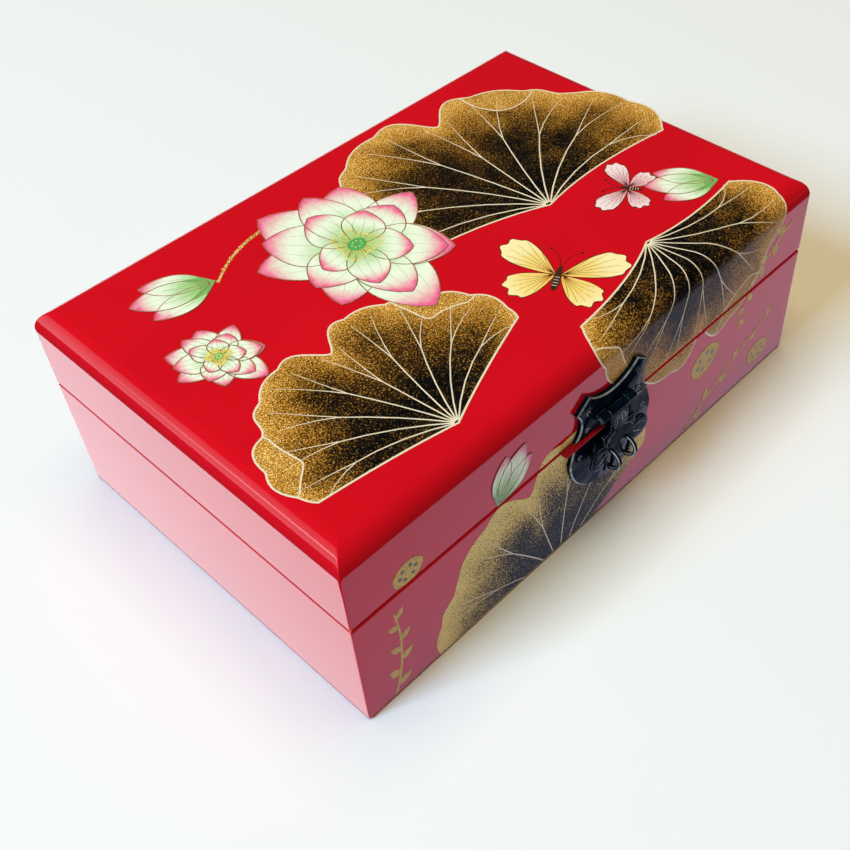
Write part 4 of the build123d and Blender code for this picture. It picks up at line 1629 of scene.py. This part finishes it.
@dataclass(frozen=True)
class Butterfly:
    """A butterfly seen from above with its wings spread.

    Each wing is its turn from straight up in degrees, length, width and how deep its frill is, the
    rear one first. The veins are their angles in radians from the wing's middle.
    """

    WINGS = ((128.0, 15.0, 13.0, 0.05), (58.0, 20.0, 13.5, 0.035))
    VEINS = (-0.42, -0.25, -0.08, 0.09, 0.26, 0.42)
    DOTTED = 0.3

    place: Placing
    wing: Pigment
    lift: float = 0.09

    def lobe(self, side: int, turn: float, length: float, width: float, frill: float) -> list[Point]:
        """Draws one wing's outline: round at its outer end, with a frilled margin.

        Args:
            side: -1 for the left wings and 1 for the right.
            turn: the wing's direction from straight up, in degrees.
            length: its length.
            width: its width.
            frill: how deep the frill is.

        Returns:
            The outline's places.
        """
        out = []
        angle = math.radians(turn)
        count = 48
        for k in range(count):
            t = 2 * math.pi * k / count
            along = length * (0.5 - 0.5 * math.cos(t)) ** 0.8
            out_share = along / length
            across = width / 2 * math.sin(t) * (0.35 + 0.65 * out_share)
            ruffle = 1 + frill * math.cos(9 * t) * out_share ** 3
            x = side * ruffle * (along * math.sin(angle) + across * math.cos(angle))
            y = ruffle * (along * math.cos(angle) - across * math.sin(angle))
            out.append(self.place.at(x + side * 0.8, y))
        return out

    def tone(self, u: float, w: float) -> float:
        """Deeper colour at the body and paler outwards."""
        x, y = self.place.local(u, w)
        return min(1.0, math.hypot(x, y) / 17.0)

    def ray(self, side: int, angle: float, far: float) -> Point:
        """A place at an angle from straight up and this far from the body."""
        return self.place.at(side * far * math.sin(angle), far * math.cos(angle))

    def veins(self, painter: Painter, side: int, turn: float, length: float, lift: float) -> None:
        """Paints one wing's veins, and a dot near the end of the middle ones.

        Args:
            painter: the painter.
            side: -1 for the left wings and 1 for the right.
            turn: the wing's direction from straight up, in degrees.
            length: its length.
            lift: height of the wing above the lacquer.
        """
        angle = math.radians(turn)
        for fan in self.VEINS:
            far = length * (0.90 - 0.9 * fan * fan)
            halfway = self.ray(side, angle + 0.5 * fan, 0.5 * far)
            vein = bent(self.place.at(side * 1.2, 0.4), halfway, self.ray(side, angle + fan, far), 6)
            painter.line(Pigment.INK, vein, 0.22, lift + 0.01, taper=0.5, tone=0.5)
            if abs(fan) < self.DOTTED:
                painter.dot(Pigment.CREAM, self.ray(side, angle + fan, 0.76 * far), 0.36, lift + 0.05)

    def paint(self, painter: Painter) -> None:
        """Paints the wings, the feelers and the body.

        Args:
            painter: the painter.
        """
        for side in (-1, 1):
            for order, (turn, length, width, frill) in enumerate(self.WINGS):
                lift = self.lift + 0.03 * order
                outline = self.lobe(side, turn, length, width, frill)
                painter.fill(self.wing, outline, lift, self.tone, grid=2.6)
                painter.line(Pigment.INK, outline, 0.34, lift + 0.01, closed=True, tone=0.8)
                self.veins(painter, side, turn, length, lift)
            foot, halfway, tip = ((side * 0.4, 4.6), (side * 1.0, 9.0), (side * 4.6, 11.2))
            feeler = bent(self.place.at(*foot), self.place.at(*halfway), self.place.at(*tip))
            painter.line(Pigment.INK, feeler, 0.26, self.lift, taper=0.7)
            painter.dot(Pigment.INK, feeler[-1], 0.5, self.lift + 0.03)
        body = [self.place.at(1.15 * math.sin(t) * (1.0 - 0.25 * math.cos(t)), 5.6 * math.cos(t) - 1.2)
                for t in (2 * math.pi * k / 28 for k in range(28))]
        painter.fill(Pigment.INK, body, self.lift + 0.10, lambda u, w: 0.4)
        for k in range(4):
            y = -1.0 - 1.2 * k
            band = [self.place.at(-0.75, y), self.place.at(0.75, y)]
            painter.line(Pigment.CREAM, band, 0.24, self.lift + 0.10)


@dataclass(frozen=True)
class Branch:
    """A curved stem with small alternate leaflets or beads along it.

    Its start, end and the control point that it leans towards are places on the skin.
    """

    STEPS = 24
    BEAD_STEPS = 8

    start: Point
    control: Point
    end: Point
    width: float = 1.5
    beads: int = 0
    leaflets: int = 0
    lift: float = 0.07
    pigment: Pigment = Pigment.BARK

    def paint(self, painter: Painter) -> None:
        """Paints the stem and what grows on it.

        Args:
            painter: the painter.
        """
        path = bent(self.start, self.control, self.end, self.STEPS)
        painter.line(self.pigment, path, self.width, self.lift, taper=0.6, tone=0.8)
        if self.beads:
            painter.rows.append(self.bead_path(painter.skin))
        for k in range(self.leaflets):
            share = (k + 0.8) / (self.leaflets + 0.3)
            index = min(self.STEPS - 1, int(share * self.STEPS))
            (u0, w0), (u1, w1) = path[index], path[index + 1]
            heading = math.degrees(math.atan2(-(w1 - w0), u1 - u0)) - 90
            spot = Placing(u0, w0, heading + (52 if k % 2 else -52))
            outline = self.leaflet(spot, 7.5 - 2.5 * share)
            painter.fill(self.pigment, outline, self.lift + 0.02, lambda u, w: 0.7)

    def bead_path(self, skin: Skin) -> list[Place]:
        """Winds a path for beads from one side of the stem to the other.

        Args:
            skin: the surface that is painted.

        Returns:
            The path's places in millimetres.
        """
        fine = bent(self.start, self.control, self.end, self.BEAD_STEPS * self.beads)
        row = []
        for k, ((u0, w0), (u1, w1)) in enumerate(zip(fine, fine[1:])):
            sway = math.cos(math.pi * k / self.BEAD_STEPS)
            side = 0.34 * self.width * sway / math.hypot(u1 - u0, w1 - w0)
            row.append(skin.point(u0 - (w1 - w0) * side, w0 + (u1 - u0) * side, self.lift + 0.19))
        return row

    @staticmethod
    def leaflet(spot: Placing, length: float) -> list[Point]:
        """Draws a leaflet's outline.

        Args:
            spot: where its foot stands.
            length: its length.

        Returns:
            The outline's places.
        """
        shares = [j / 10 for j in range(11)]
        half = [0.26 * length * math.sin(math.pi * share ** 0.85) for share in shares]
        right = [spot.at(h, share * length) for h, share in zip(half, shares)]
        left = [spot.at(-h, share * length) for h, share in zip(half[-2:0:-1], shares[-2:0:-1])]
        return right + left


@dataclass(frozen=True)
class Pod:
    """A round seed pod with a rim of gold and dark seeds."""

    SEEDS = 6

    place: Placing
    radius: float = 6.0
    lift: float = 0.06

    def paint(self, painter: Painter) -> None:
        """Paints the pod.

        Args:
            painter: the painter.
        """
        radius = self.radius
        rim = [self.place.at(radius * math.cos(t) * (1 + 0.04 * math.cos(5 * t)), 0.8 * radius * math.sin(t))
               for t in (2 * math.pi * k / 40 for k in range(40))]
        painter.fill(Pigment.BRONZE, rim, self.lift, lambda u, w: 0.9)
        painter.line(Pigment.BARK, rim, 0.5, self.lift + 0.01, closed=True, tone=1.0)
        for k in range(self.SEEDS):
            angle = 2 * math.pi * k / self.SEEDS
            spot = self.place.at(0.55 * radius * math.cos(angle), 0.42 * radius * math.sin(angle))
            painter.dot(Pigment.INK, spot, 0.12 * radius, self.lift + 0.03)


class Motif(Protocol):
    """Anything that a painter can be told to paint."""

    def paint(self, painter: Painter) -> None:
        """Paints the motif."""


class Decoration:
    """The painting over the top and down the front: leaves, blossoms and butterflies."""

    def __init__(self, skin: Skin) -> None:
        """Sets the picture out.

        Args:
            skin: the surface that is painted.
        """
        self.skin = skin

    def motifs(self) -> list[Motif]:
        """Sets out the motifs.

        Returns:
            The motifs in the order in which they are painted.
        """
        skin = self.skin
        low = skin.base_edge
        return [
            FanLeaf(Placing(44.0, 16.0, -8.0, 1.42), scallops=11.0, lips=((-1.3, -0.85), (0.24, 0.62))),
            FanLeaf(Placing(-62.0, 70.0, 6.0, 1.08), half_angle=1.3, lips=((-1.2, -0.72), (0.52, 1.0))),
            FanLeaf(Placing(50.0, skin.flat - 16.0, -174.0, 1.08), scallops=11.0,
                    lips=((-0.62, -0.16), (0.8, 1.3))),
            FanLeaf(Placing(-26.0, low + 66.0, 16.0, 1.18), half_angle=1.3, rim=0.0, scallops=11.0, lips=(),
                    veins=7, dust=Pigment.GILT),
            Branch((-34.0, -56.0), (-52.0, -58.0), (-70.0, -44.0), 1.8, beads=12),
            Blossom(Placing(-22.0, -22.0, 8.0, 1.28)),
            Bud(Placing(-72.0, -46.0, 72.0, 1.35)),
            Blossom(Placing(-94.0, -12.0, 30.0, 0.55)),
            Bud(Placing(98.0, 54.0, 52.0, 1.25)),
            Butterfly(Placing(14.0, 46.0, -62.0, 1.3), Pigment.YELLOW_WING),
            Butterfly(Placing(72.0, 32.0, 30.0, 0.85), Pigment.PINK_WING),
            Branch((-112.0, low + 52.0), (-104.0, low + 30.0), (-108.0, low + 8.0), 1.2, leaflets=7,
                   pigment=Pigment.BRONZE),
            Branch((52.0, low + 52.0), (78.0, low + 34.0), (112.0, low + 22.0), 1.6, leaflets=6,
                   pigment=Pigment.BRONZE),
            Branch((114.0, skin.front + 6.0), (88.0, skin.front + 18.0), (84.0, low + 16.0), 1.6, leaflets=8,
                   pigment=Pigment.BRONZE),
            Pod(Placing(-100.0, skin.front + 21.0, 10.0), 6.5),
            Pod(Placing(62.0, low + 18.0, 20.0), 9.0),
            Pod(Placing(104.0, low + 42.0, -12.0), 7.5),
            Bud(Placing(-58.0, skin.front + 25.0, -34.0, 1.05)),
        ]

    def paint(self) -> None:
        """Paints every motif and makes the pieces."""
        painter = Painter(self.skin)
        for motif in self.motifs():
            motif.paint(painter)
        painter.finish({pigment: finish.build() for pigment, finish in PAINTS.items()})


class Ironwork:
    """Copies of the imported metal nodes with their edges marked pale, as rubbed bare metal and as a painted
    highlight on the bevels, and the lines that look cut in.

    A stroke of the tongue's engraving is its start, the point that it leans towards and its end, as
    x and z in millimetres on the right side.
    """

    MERGE = 1e-7
    SHARP_DEG = 32
    SMOOTH_DEG = 28
    STROKES = (
        ((1.2, 58.0), (4.4, 56.5), (2.2, 51.5)),
        ((2.2, 51.5), (1.0, 54.5), (1.2, 58.0)),
        ((2.4, 50.6), (7.0, 49.5), (7.6, 46.6)),
        ((7.0, 44.6), (11.5, 46.4), (14.2, 43.6)),
        ((7.4, 43.4), (10.5, 41.0), (13.2, 40.4)),
    )
    STROKE_STEPS = 8
    STROKE_HALF = 0.17
    STROKE_TONE = 0.85
    BEFORE_PLATE = -100.0

    def __init__(self, made: dict[str, bpy.types.Material]) -> None:
        """Keeps the materials.

        Args:
            made: the materials by slot.
        """
        self.made = made

    def merged(self, node: str) -> bmesh.types.BMesh:
        """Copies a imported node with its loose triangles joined.

        Args:
            node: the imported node.

        Returns:
            The copy, which the caller frees.
        """
        source = frame["nodes"][node]
        shaped = bmesh.new()
        shaped.from_mesh(source.data)
        shaped.transform(source.matrix_world)
        bmesh.ops.remove_doubles(shaped, verts=shaped.verts, dist=self.MERGE)
        return shaped

    def rubbed_and_highlit(self, node: str, body: Body, slot: str, bevel: float,
               chamfer_y: float = 0.0) -> bpy.types.Object:
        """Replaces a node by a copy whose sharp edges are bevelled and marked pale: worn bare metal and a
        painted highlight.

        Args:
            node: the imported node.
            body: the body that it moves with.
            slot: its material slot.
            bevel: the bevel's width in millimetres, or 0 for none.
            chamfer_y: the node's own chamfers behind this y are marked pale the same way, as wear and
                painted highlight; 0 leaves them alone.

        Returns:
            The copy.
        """
        shaped = self.merged(node)
        bmesh.ops.dissolve_limit(shaped, angle_limit=0.01, verts=shaped.verts, edges=shaped.edges)
        # Painted highlight with wear: faces marked 1 are shaded pale by the blacking.
        bare_and_highlight = shaped.faces.layers.float.new("bare_and_highlight")
        for face in shaped.faces if chamfer_y else []:
            edged = 0.5 < -face.normal.y < 0.9 and face.calc_center_median().y > chamfer_y * MM
            face[bare_and_highlight] = 1.0 if edged else 0.0
        if bevel:
            sharp = [edge for edge in shaped.edges
                     if edge.is_manifold and edge.calc_face_angle() > math.radians(self.SHARP_DEG)
                     and not any(face[bare_and_highlight] for face in edge.link_faces)]
            cut = bmesh.ops.bevel(shaped, geom=sharp, offset=bevel * MM, offset_type="OFFSET", segments=1,
                                  profile=0.5, affect="EDGES", clamp_overlap=True)
            for face in cut["faces"]:
                face[bare_and_highlight] = 1.0
        bmesh.ops.triangulate(shaped, faces=shaped.faces)
        mesh = bpy.data.meshes.new(f"{node}_rubbed")
        shaped.to_mesh(mesh)
        shaped.free()
        mesh.materials.append(self.made[slot])
        mesh.shade_smooth()
        mesh.set_sharp_from_angle(angle=math.radians(self.SMOOTH_DEG))
        return enrol(bpy.data.objects.new(f"{node}_rubbed", mesh), body, slot, node)

    def engrave(self, plate: bpy.types.Object) -> None:
        """Lays pale engraved strokes on the tongue: a leaf on each side of its neck and veins in its lobes.

        Args:
            plate: the finished tongue.
        """
        corners = [vertex.co for vertex in plate.data.vertices]
        tree = BVHTree.FromPolygons(corners, [face.vertices for face in plate.data.polygons])
        soup = Soup()
        strokes = [bent(*((side * x, z) for x, z in stroke), self.STROKE_STEPS)
                   for side in (-1, 1) for stroke in self.STROKES]
        for stroke in strokes:
            rings = []
            for k, (x, z) in enumerate(stroke):
                before, after = stroke[max(0, k - 1)], stroke[min(len(stroke) - 1, k + 1)]
                dx, dz = after[0] - before[0], after[1] - before[1]
                length = math.hypot(dx, dz)
                half = self.STROKE_HALF * (1.0 - 0.6 * abs(2 * k / (len(stroke) - 1) - 1))
                ring = []
                for across, rise in ((-half, -0.05), (-half, 0.04), (half, 0.04), (half, -0.05)):
                    px, pz = x - dz / length * across, z + dx / length * across
                    start = Vector((px, self.BEFORE_PLATE, pz)) * MM
                    spot, _, _, _ = tree.ray_cast(start, Vector((0.0, 1.0, 0.0)))
                    if spot is None:
                        break
                    ring.append(soup.add((px, spot.y / MM - rise, pz), self.STROKE_TONE))
                if len(ring) == 4:
                    rings.append(ring)
            if len(rings) > 2:
                soup.tube(rings, closed=False)
        # The engraved strokes carry the same pale mark as the worn, highlighted edges, so they show as pale
        # bare metal.
        piece = soup.build("tongue_engraving", self.made["hasp_metal"], layer="bare_and_highlight")
        enrol(piece, Body.TONGUE, "hasp_metal")

    @staticmethod
    def islands(shaped: bmesh.types.BMesh) -> list[list[Vector]]:
        """Sorts a mesh into its separate shapes.

        Args:
            shaped: the mesh, in metres.

        Returns:
            The corners of each shape, in millimetres.
        """
        found, seen = [], set()
        for start in shaped.verts:
            if start in seen:
                continue
            island, queue = [], [start]
            seen.add(start)
            while queue:
                vert = queue.pop()
                island.append(vert.co / MM)
                for edge in vert.link_edges:
                    other = edge.other_vert(vert)
                    if other not in seen:
                        seen.add(other)
                        queue.append(other)
            found.append(island)
        return found

    def slots(self, node: str, body: Body) -> None:
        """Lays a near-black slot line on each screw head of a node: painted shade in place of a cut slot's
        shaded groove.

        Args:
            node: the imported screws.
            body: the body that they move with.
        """
        soup = Soup()
        shaped = self.merged(node)
        for island in self.islands(shaped):
            left, right = min(p.x for p in island), max(p.x for p in island)
            face_y = max(p.y for p in island)
            middle_x = (left + right) / 2
            middle_z = (min(p.z for p in island) + max(p.z for p in island)) / 2
            reach = 0.42 * (right - left)
            lean = 0.9 * math.sin(3.1 * middle_x + middle_z)
            ux, uz = math.cos(lean), math.sin(lean)
            rings = []
            for end in (-reach, reach):
                ring = []
                for across, rise in ((-0.2, -0.4), (-0.2, 0.03), (0.2, 0.03), (0.2, -0.4)):
                    x, z = middle_x + ux * end - uz * across, middle_z + uz * end + ux * across
                    ring.append(soup.add((x, face_y + rise, z)))
                rings.append(ring)
            soup.tube(rings, closed=False)
        shaped.free()
        # Painted shade: a matte near-black bar stands for the shade inside the slot.
        dark = Shader(f"{node}_shade").surface(Base_Color=(0.002, 0.002, 0.003), Roughness=0.8)
        enrol(soup.build(f"{node}_slots", dark), body, "hinge_metal")

    def build(self) -> None:
        """Replaces the hasp's and the hinges' nodes."""
        chamfer_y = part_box("clasp_lower_plate")[0][1] / MM - 0.05
        self.rubbed_and_highlit("clasp_upper_plate", Body.LID, "hasp_metal", 0.3, chamfer_y)
        self.rubbed_and_highlit("clasp_lower_plate", Body.BASE, "hasp_metal", 0.0, chamfer_y)
        for node, body, bevel in (
            ("clasp_loops", Body.BASE, 0.36), ("clasp_pin", Body.LID, 0.1),
            ("clasp_upper_nails", Body.LID, 0.08), ("clasp_lower_nails", Body.BASE, 0.08),
        ):
            self.rubbed_and_highlit(node, body, "hasp_metal", bevel)
        self.engrave(self.rubbed_and_highlit("clasp_tongue", Body.TONGUE, "hasp_metal", 0.34))
        for side in ("left", "right"):
            self.rubbed_and_highlit(f"hinge_{side}_base_leaf", Body.BASE, "hinge_metal", 0.15)
            self.rubbed_and_highlit(f"hinge_{side}_lid_leaf", Body.LID, "hinge_metal", 0.15)
            self.rubbed_and_highlit(f"hinge_{side}_pin", Body.BASE, "hinge_metal", 0.1)
        self.slots("hinge_base_screws", Body.BASE)
        self.slots("hinge_lid_screws", Body.LID)


class Upholstery:
    """The soft pieces: the ring rolls, the ribbon pulls and the slip in the joint.

    A ribbon's and the slip's section is a list of corners: the first number is across, as a share of
    half the width, and the second through, as a share of half the ribbon's or all the slip's
    thickness.
    """

    ROLLS = 6
    RIBBON = ((-1, -0.6), (-0.97, -1), (-0.9, -0.8), (0.9, -0.8), (0.97, -1), (1, -0.6),
              (1, 0.6), (0.97, 1), (0.9, 0.8), (-0.9, 0.8), (-0.97, 1), (-1, 0.6))
    SLIP = ((-1, 0.1), (-0.985, 0.0), (0.985, 0.0), (1, 0.1),
            (1, 0.9), (0.985, 1.0), (-0.985, 1.0), (-1, 0.9))

    def __init__(self, made: dict[str, bpy.types.Material]) -> None:
        """Keeps the materials.

        Args:
            made: the materials by slot.
        """
        self.made = made

    def roll(self, index: int) -> None:
        """Shapes one ring roll: crowned, gathered at its ends and flat where it lies on the tray.

        Args:
            index: the roll's number, from 1.
        """
        node = f"ring_roll_{index}"
        low, high = (Vector(corner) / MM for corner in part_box(node))
        length, half, tall = high.x - low.x, (high.y - low.y) / 2, high.z - low.z
        soup, rings = Soup(), []
        stations, around, end = 46, 40, 5.0
        for k in range(stations + 1):
            share = 0.5 - 0.5 * math.cos(math.pi * k / stations)
            inset = min(1.0, min(share, 1 - share) * length / end)
            full = (1 - (1 - inset) ** 2.4) ** (1 / 2.4)
            ring = []
            for j in range(around):
                angle = 2 * math.pi * j / around
                across, up = math.cos(angle), math.sin(angle)
                power = 2 / 2.3 if up > 0 else 2 / 5.0
                pleat = 1 - 0.05 * (1 - full) * (1 + math.cos(10 * angle)) / 2
                ripple = math.sin(0.19 * share * length + 1.7 * index) * math.sin(2 * angle + index)
                ease = 1 - 0.010 * (1 + ripple)
                size = (0.30 + 0.70 * full) * pleat * ease
                y = half * size * math.copysign(abs(across) ** power, across)
                z = tall / 2 * (1 + size * math.copysign(abs(up) ** power, up))
                ring.append(soup.add((low.x + share * length, (low.y + high.y) / 2 + y, low.z + z)))
            rings.append(ring)
        soup.tube(rings, closed=False)
        piece = soup.build(f"{node}_foam", self.made["foam_velvet"], 50.0)
        enrol(piece, Body.TRAY, "foam_velvet", node)

    def pull(self, side: str) -> None:
        """Shapes one ribbon pull: two plies with a soft fold at the top that leans inwards a little.

        Args:
            side: left or right.
        """
        node = f"tray_pull_{side}"
        low, high = (Vector(corner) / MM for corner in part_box(node))
        inward = 1.0 if side == "left" else -1.0
        middle_x, half_x = (low.x + high.x) / 2, (high.x - low.x) / 2
        middle_y, half_y = (low.y + high.y) / 2, (high.y - low.y) / 2
        _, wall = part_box(f"tray_{side}_wall")
        free = wall[2] / MM
        soup, rings = Soup(), []
        steps = 24
        for k in range(steps + 1):
            z = low.z + (high.z - low.z) * (1 - (1 - k / steps) ** 1.6)
            rise = max(0.0, z - free)
            lean = inward * 0.016 * rise ** 2
            fold = math.sqrt(max(0.0, 1 - max(0.0, 1 - (high.z - z) / half_x) ** 2))
            thick = half_x * max(0.12, fold)
            ring = []
            for across, out in self.RIBBON:
                ring.append(soup.add((middle_x + lean + thick * out, middle_y + half_y * across, z)))
            rings.append(ring)
        soup.tube(rings, closed=False)
        enrol(soup.build(f"{node}_ribbon", self.made["ribbon"], 40.0), Body.TRAY, "ribbon", node)

    def slip(self) -> None:
        """Shapes the slip in the joint, with rounded outer corners and a slight droop where it is free."""
        low, high = (Vector(corner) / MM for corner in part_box("joint_slip"))
        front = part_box("base_front_wall")[0][1] / MM
        middle, half = (low.x + high.x) / 2, (high.x - low.x) / 2
        soup, rings = Soup(), []
        steps, corner = 20, 1.0
        for k in range(steps + 1):
            y = low.y + (high.y - low.y) * (k / steps) ** 1.8
            cut = max(0.0, corner - (y - low.y))
            wide = half - corner + math.sqrt(max(0.0, corner ** 2 - cut ** 2))
            droop = 0.016 * max(0.0, front - y) ** 2
            ring = []
            for across, level in self.SLIP:
                z = low.z + (high.z - low.z) * level - droop
                ring.append(soup.add((middle + wide * across, y, z)))
            rings.append(ring)
        soup.tube(rings, closed=False)
        enrol(soup.build("joint_slip_felt", self.made["slip"], 40.0), Body.BASE, "slip", "joint_slip")

    def build(self) -> None:
        """Makes every soft piece."""
        for index in range(1, self.ROLLS + 1):
            self.roll(index)
        for side in ("left", "right"):
            self.pull(side)
        self.slip()


def main() -> None:
    """Builds the studio and the box's pieces in order."""
    Studio().build()
    made = dress_nodes()
    case = Case.measure()
    shell = Shell(case, made["lacquer"])
    shell.lid()
    shell.base()
    Decoration(Skin(case)).paint()
    Ironwork(made).build()
    Upholstery(made).build()


if __name__ == "__main__":
    logging.basicConfig(level=logging.INFO)
    main()
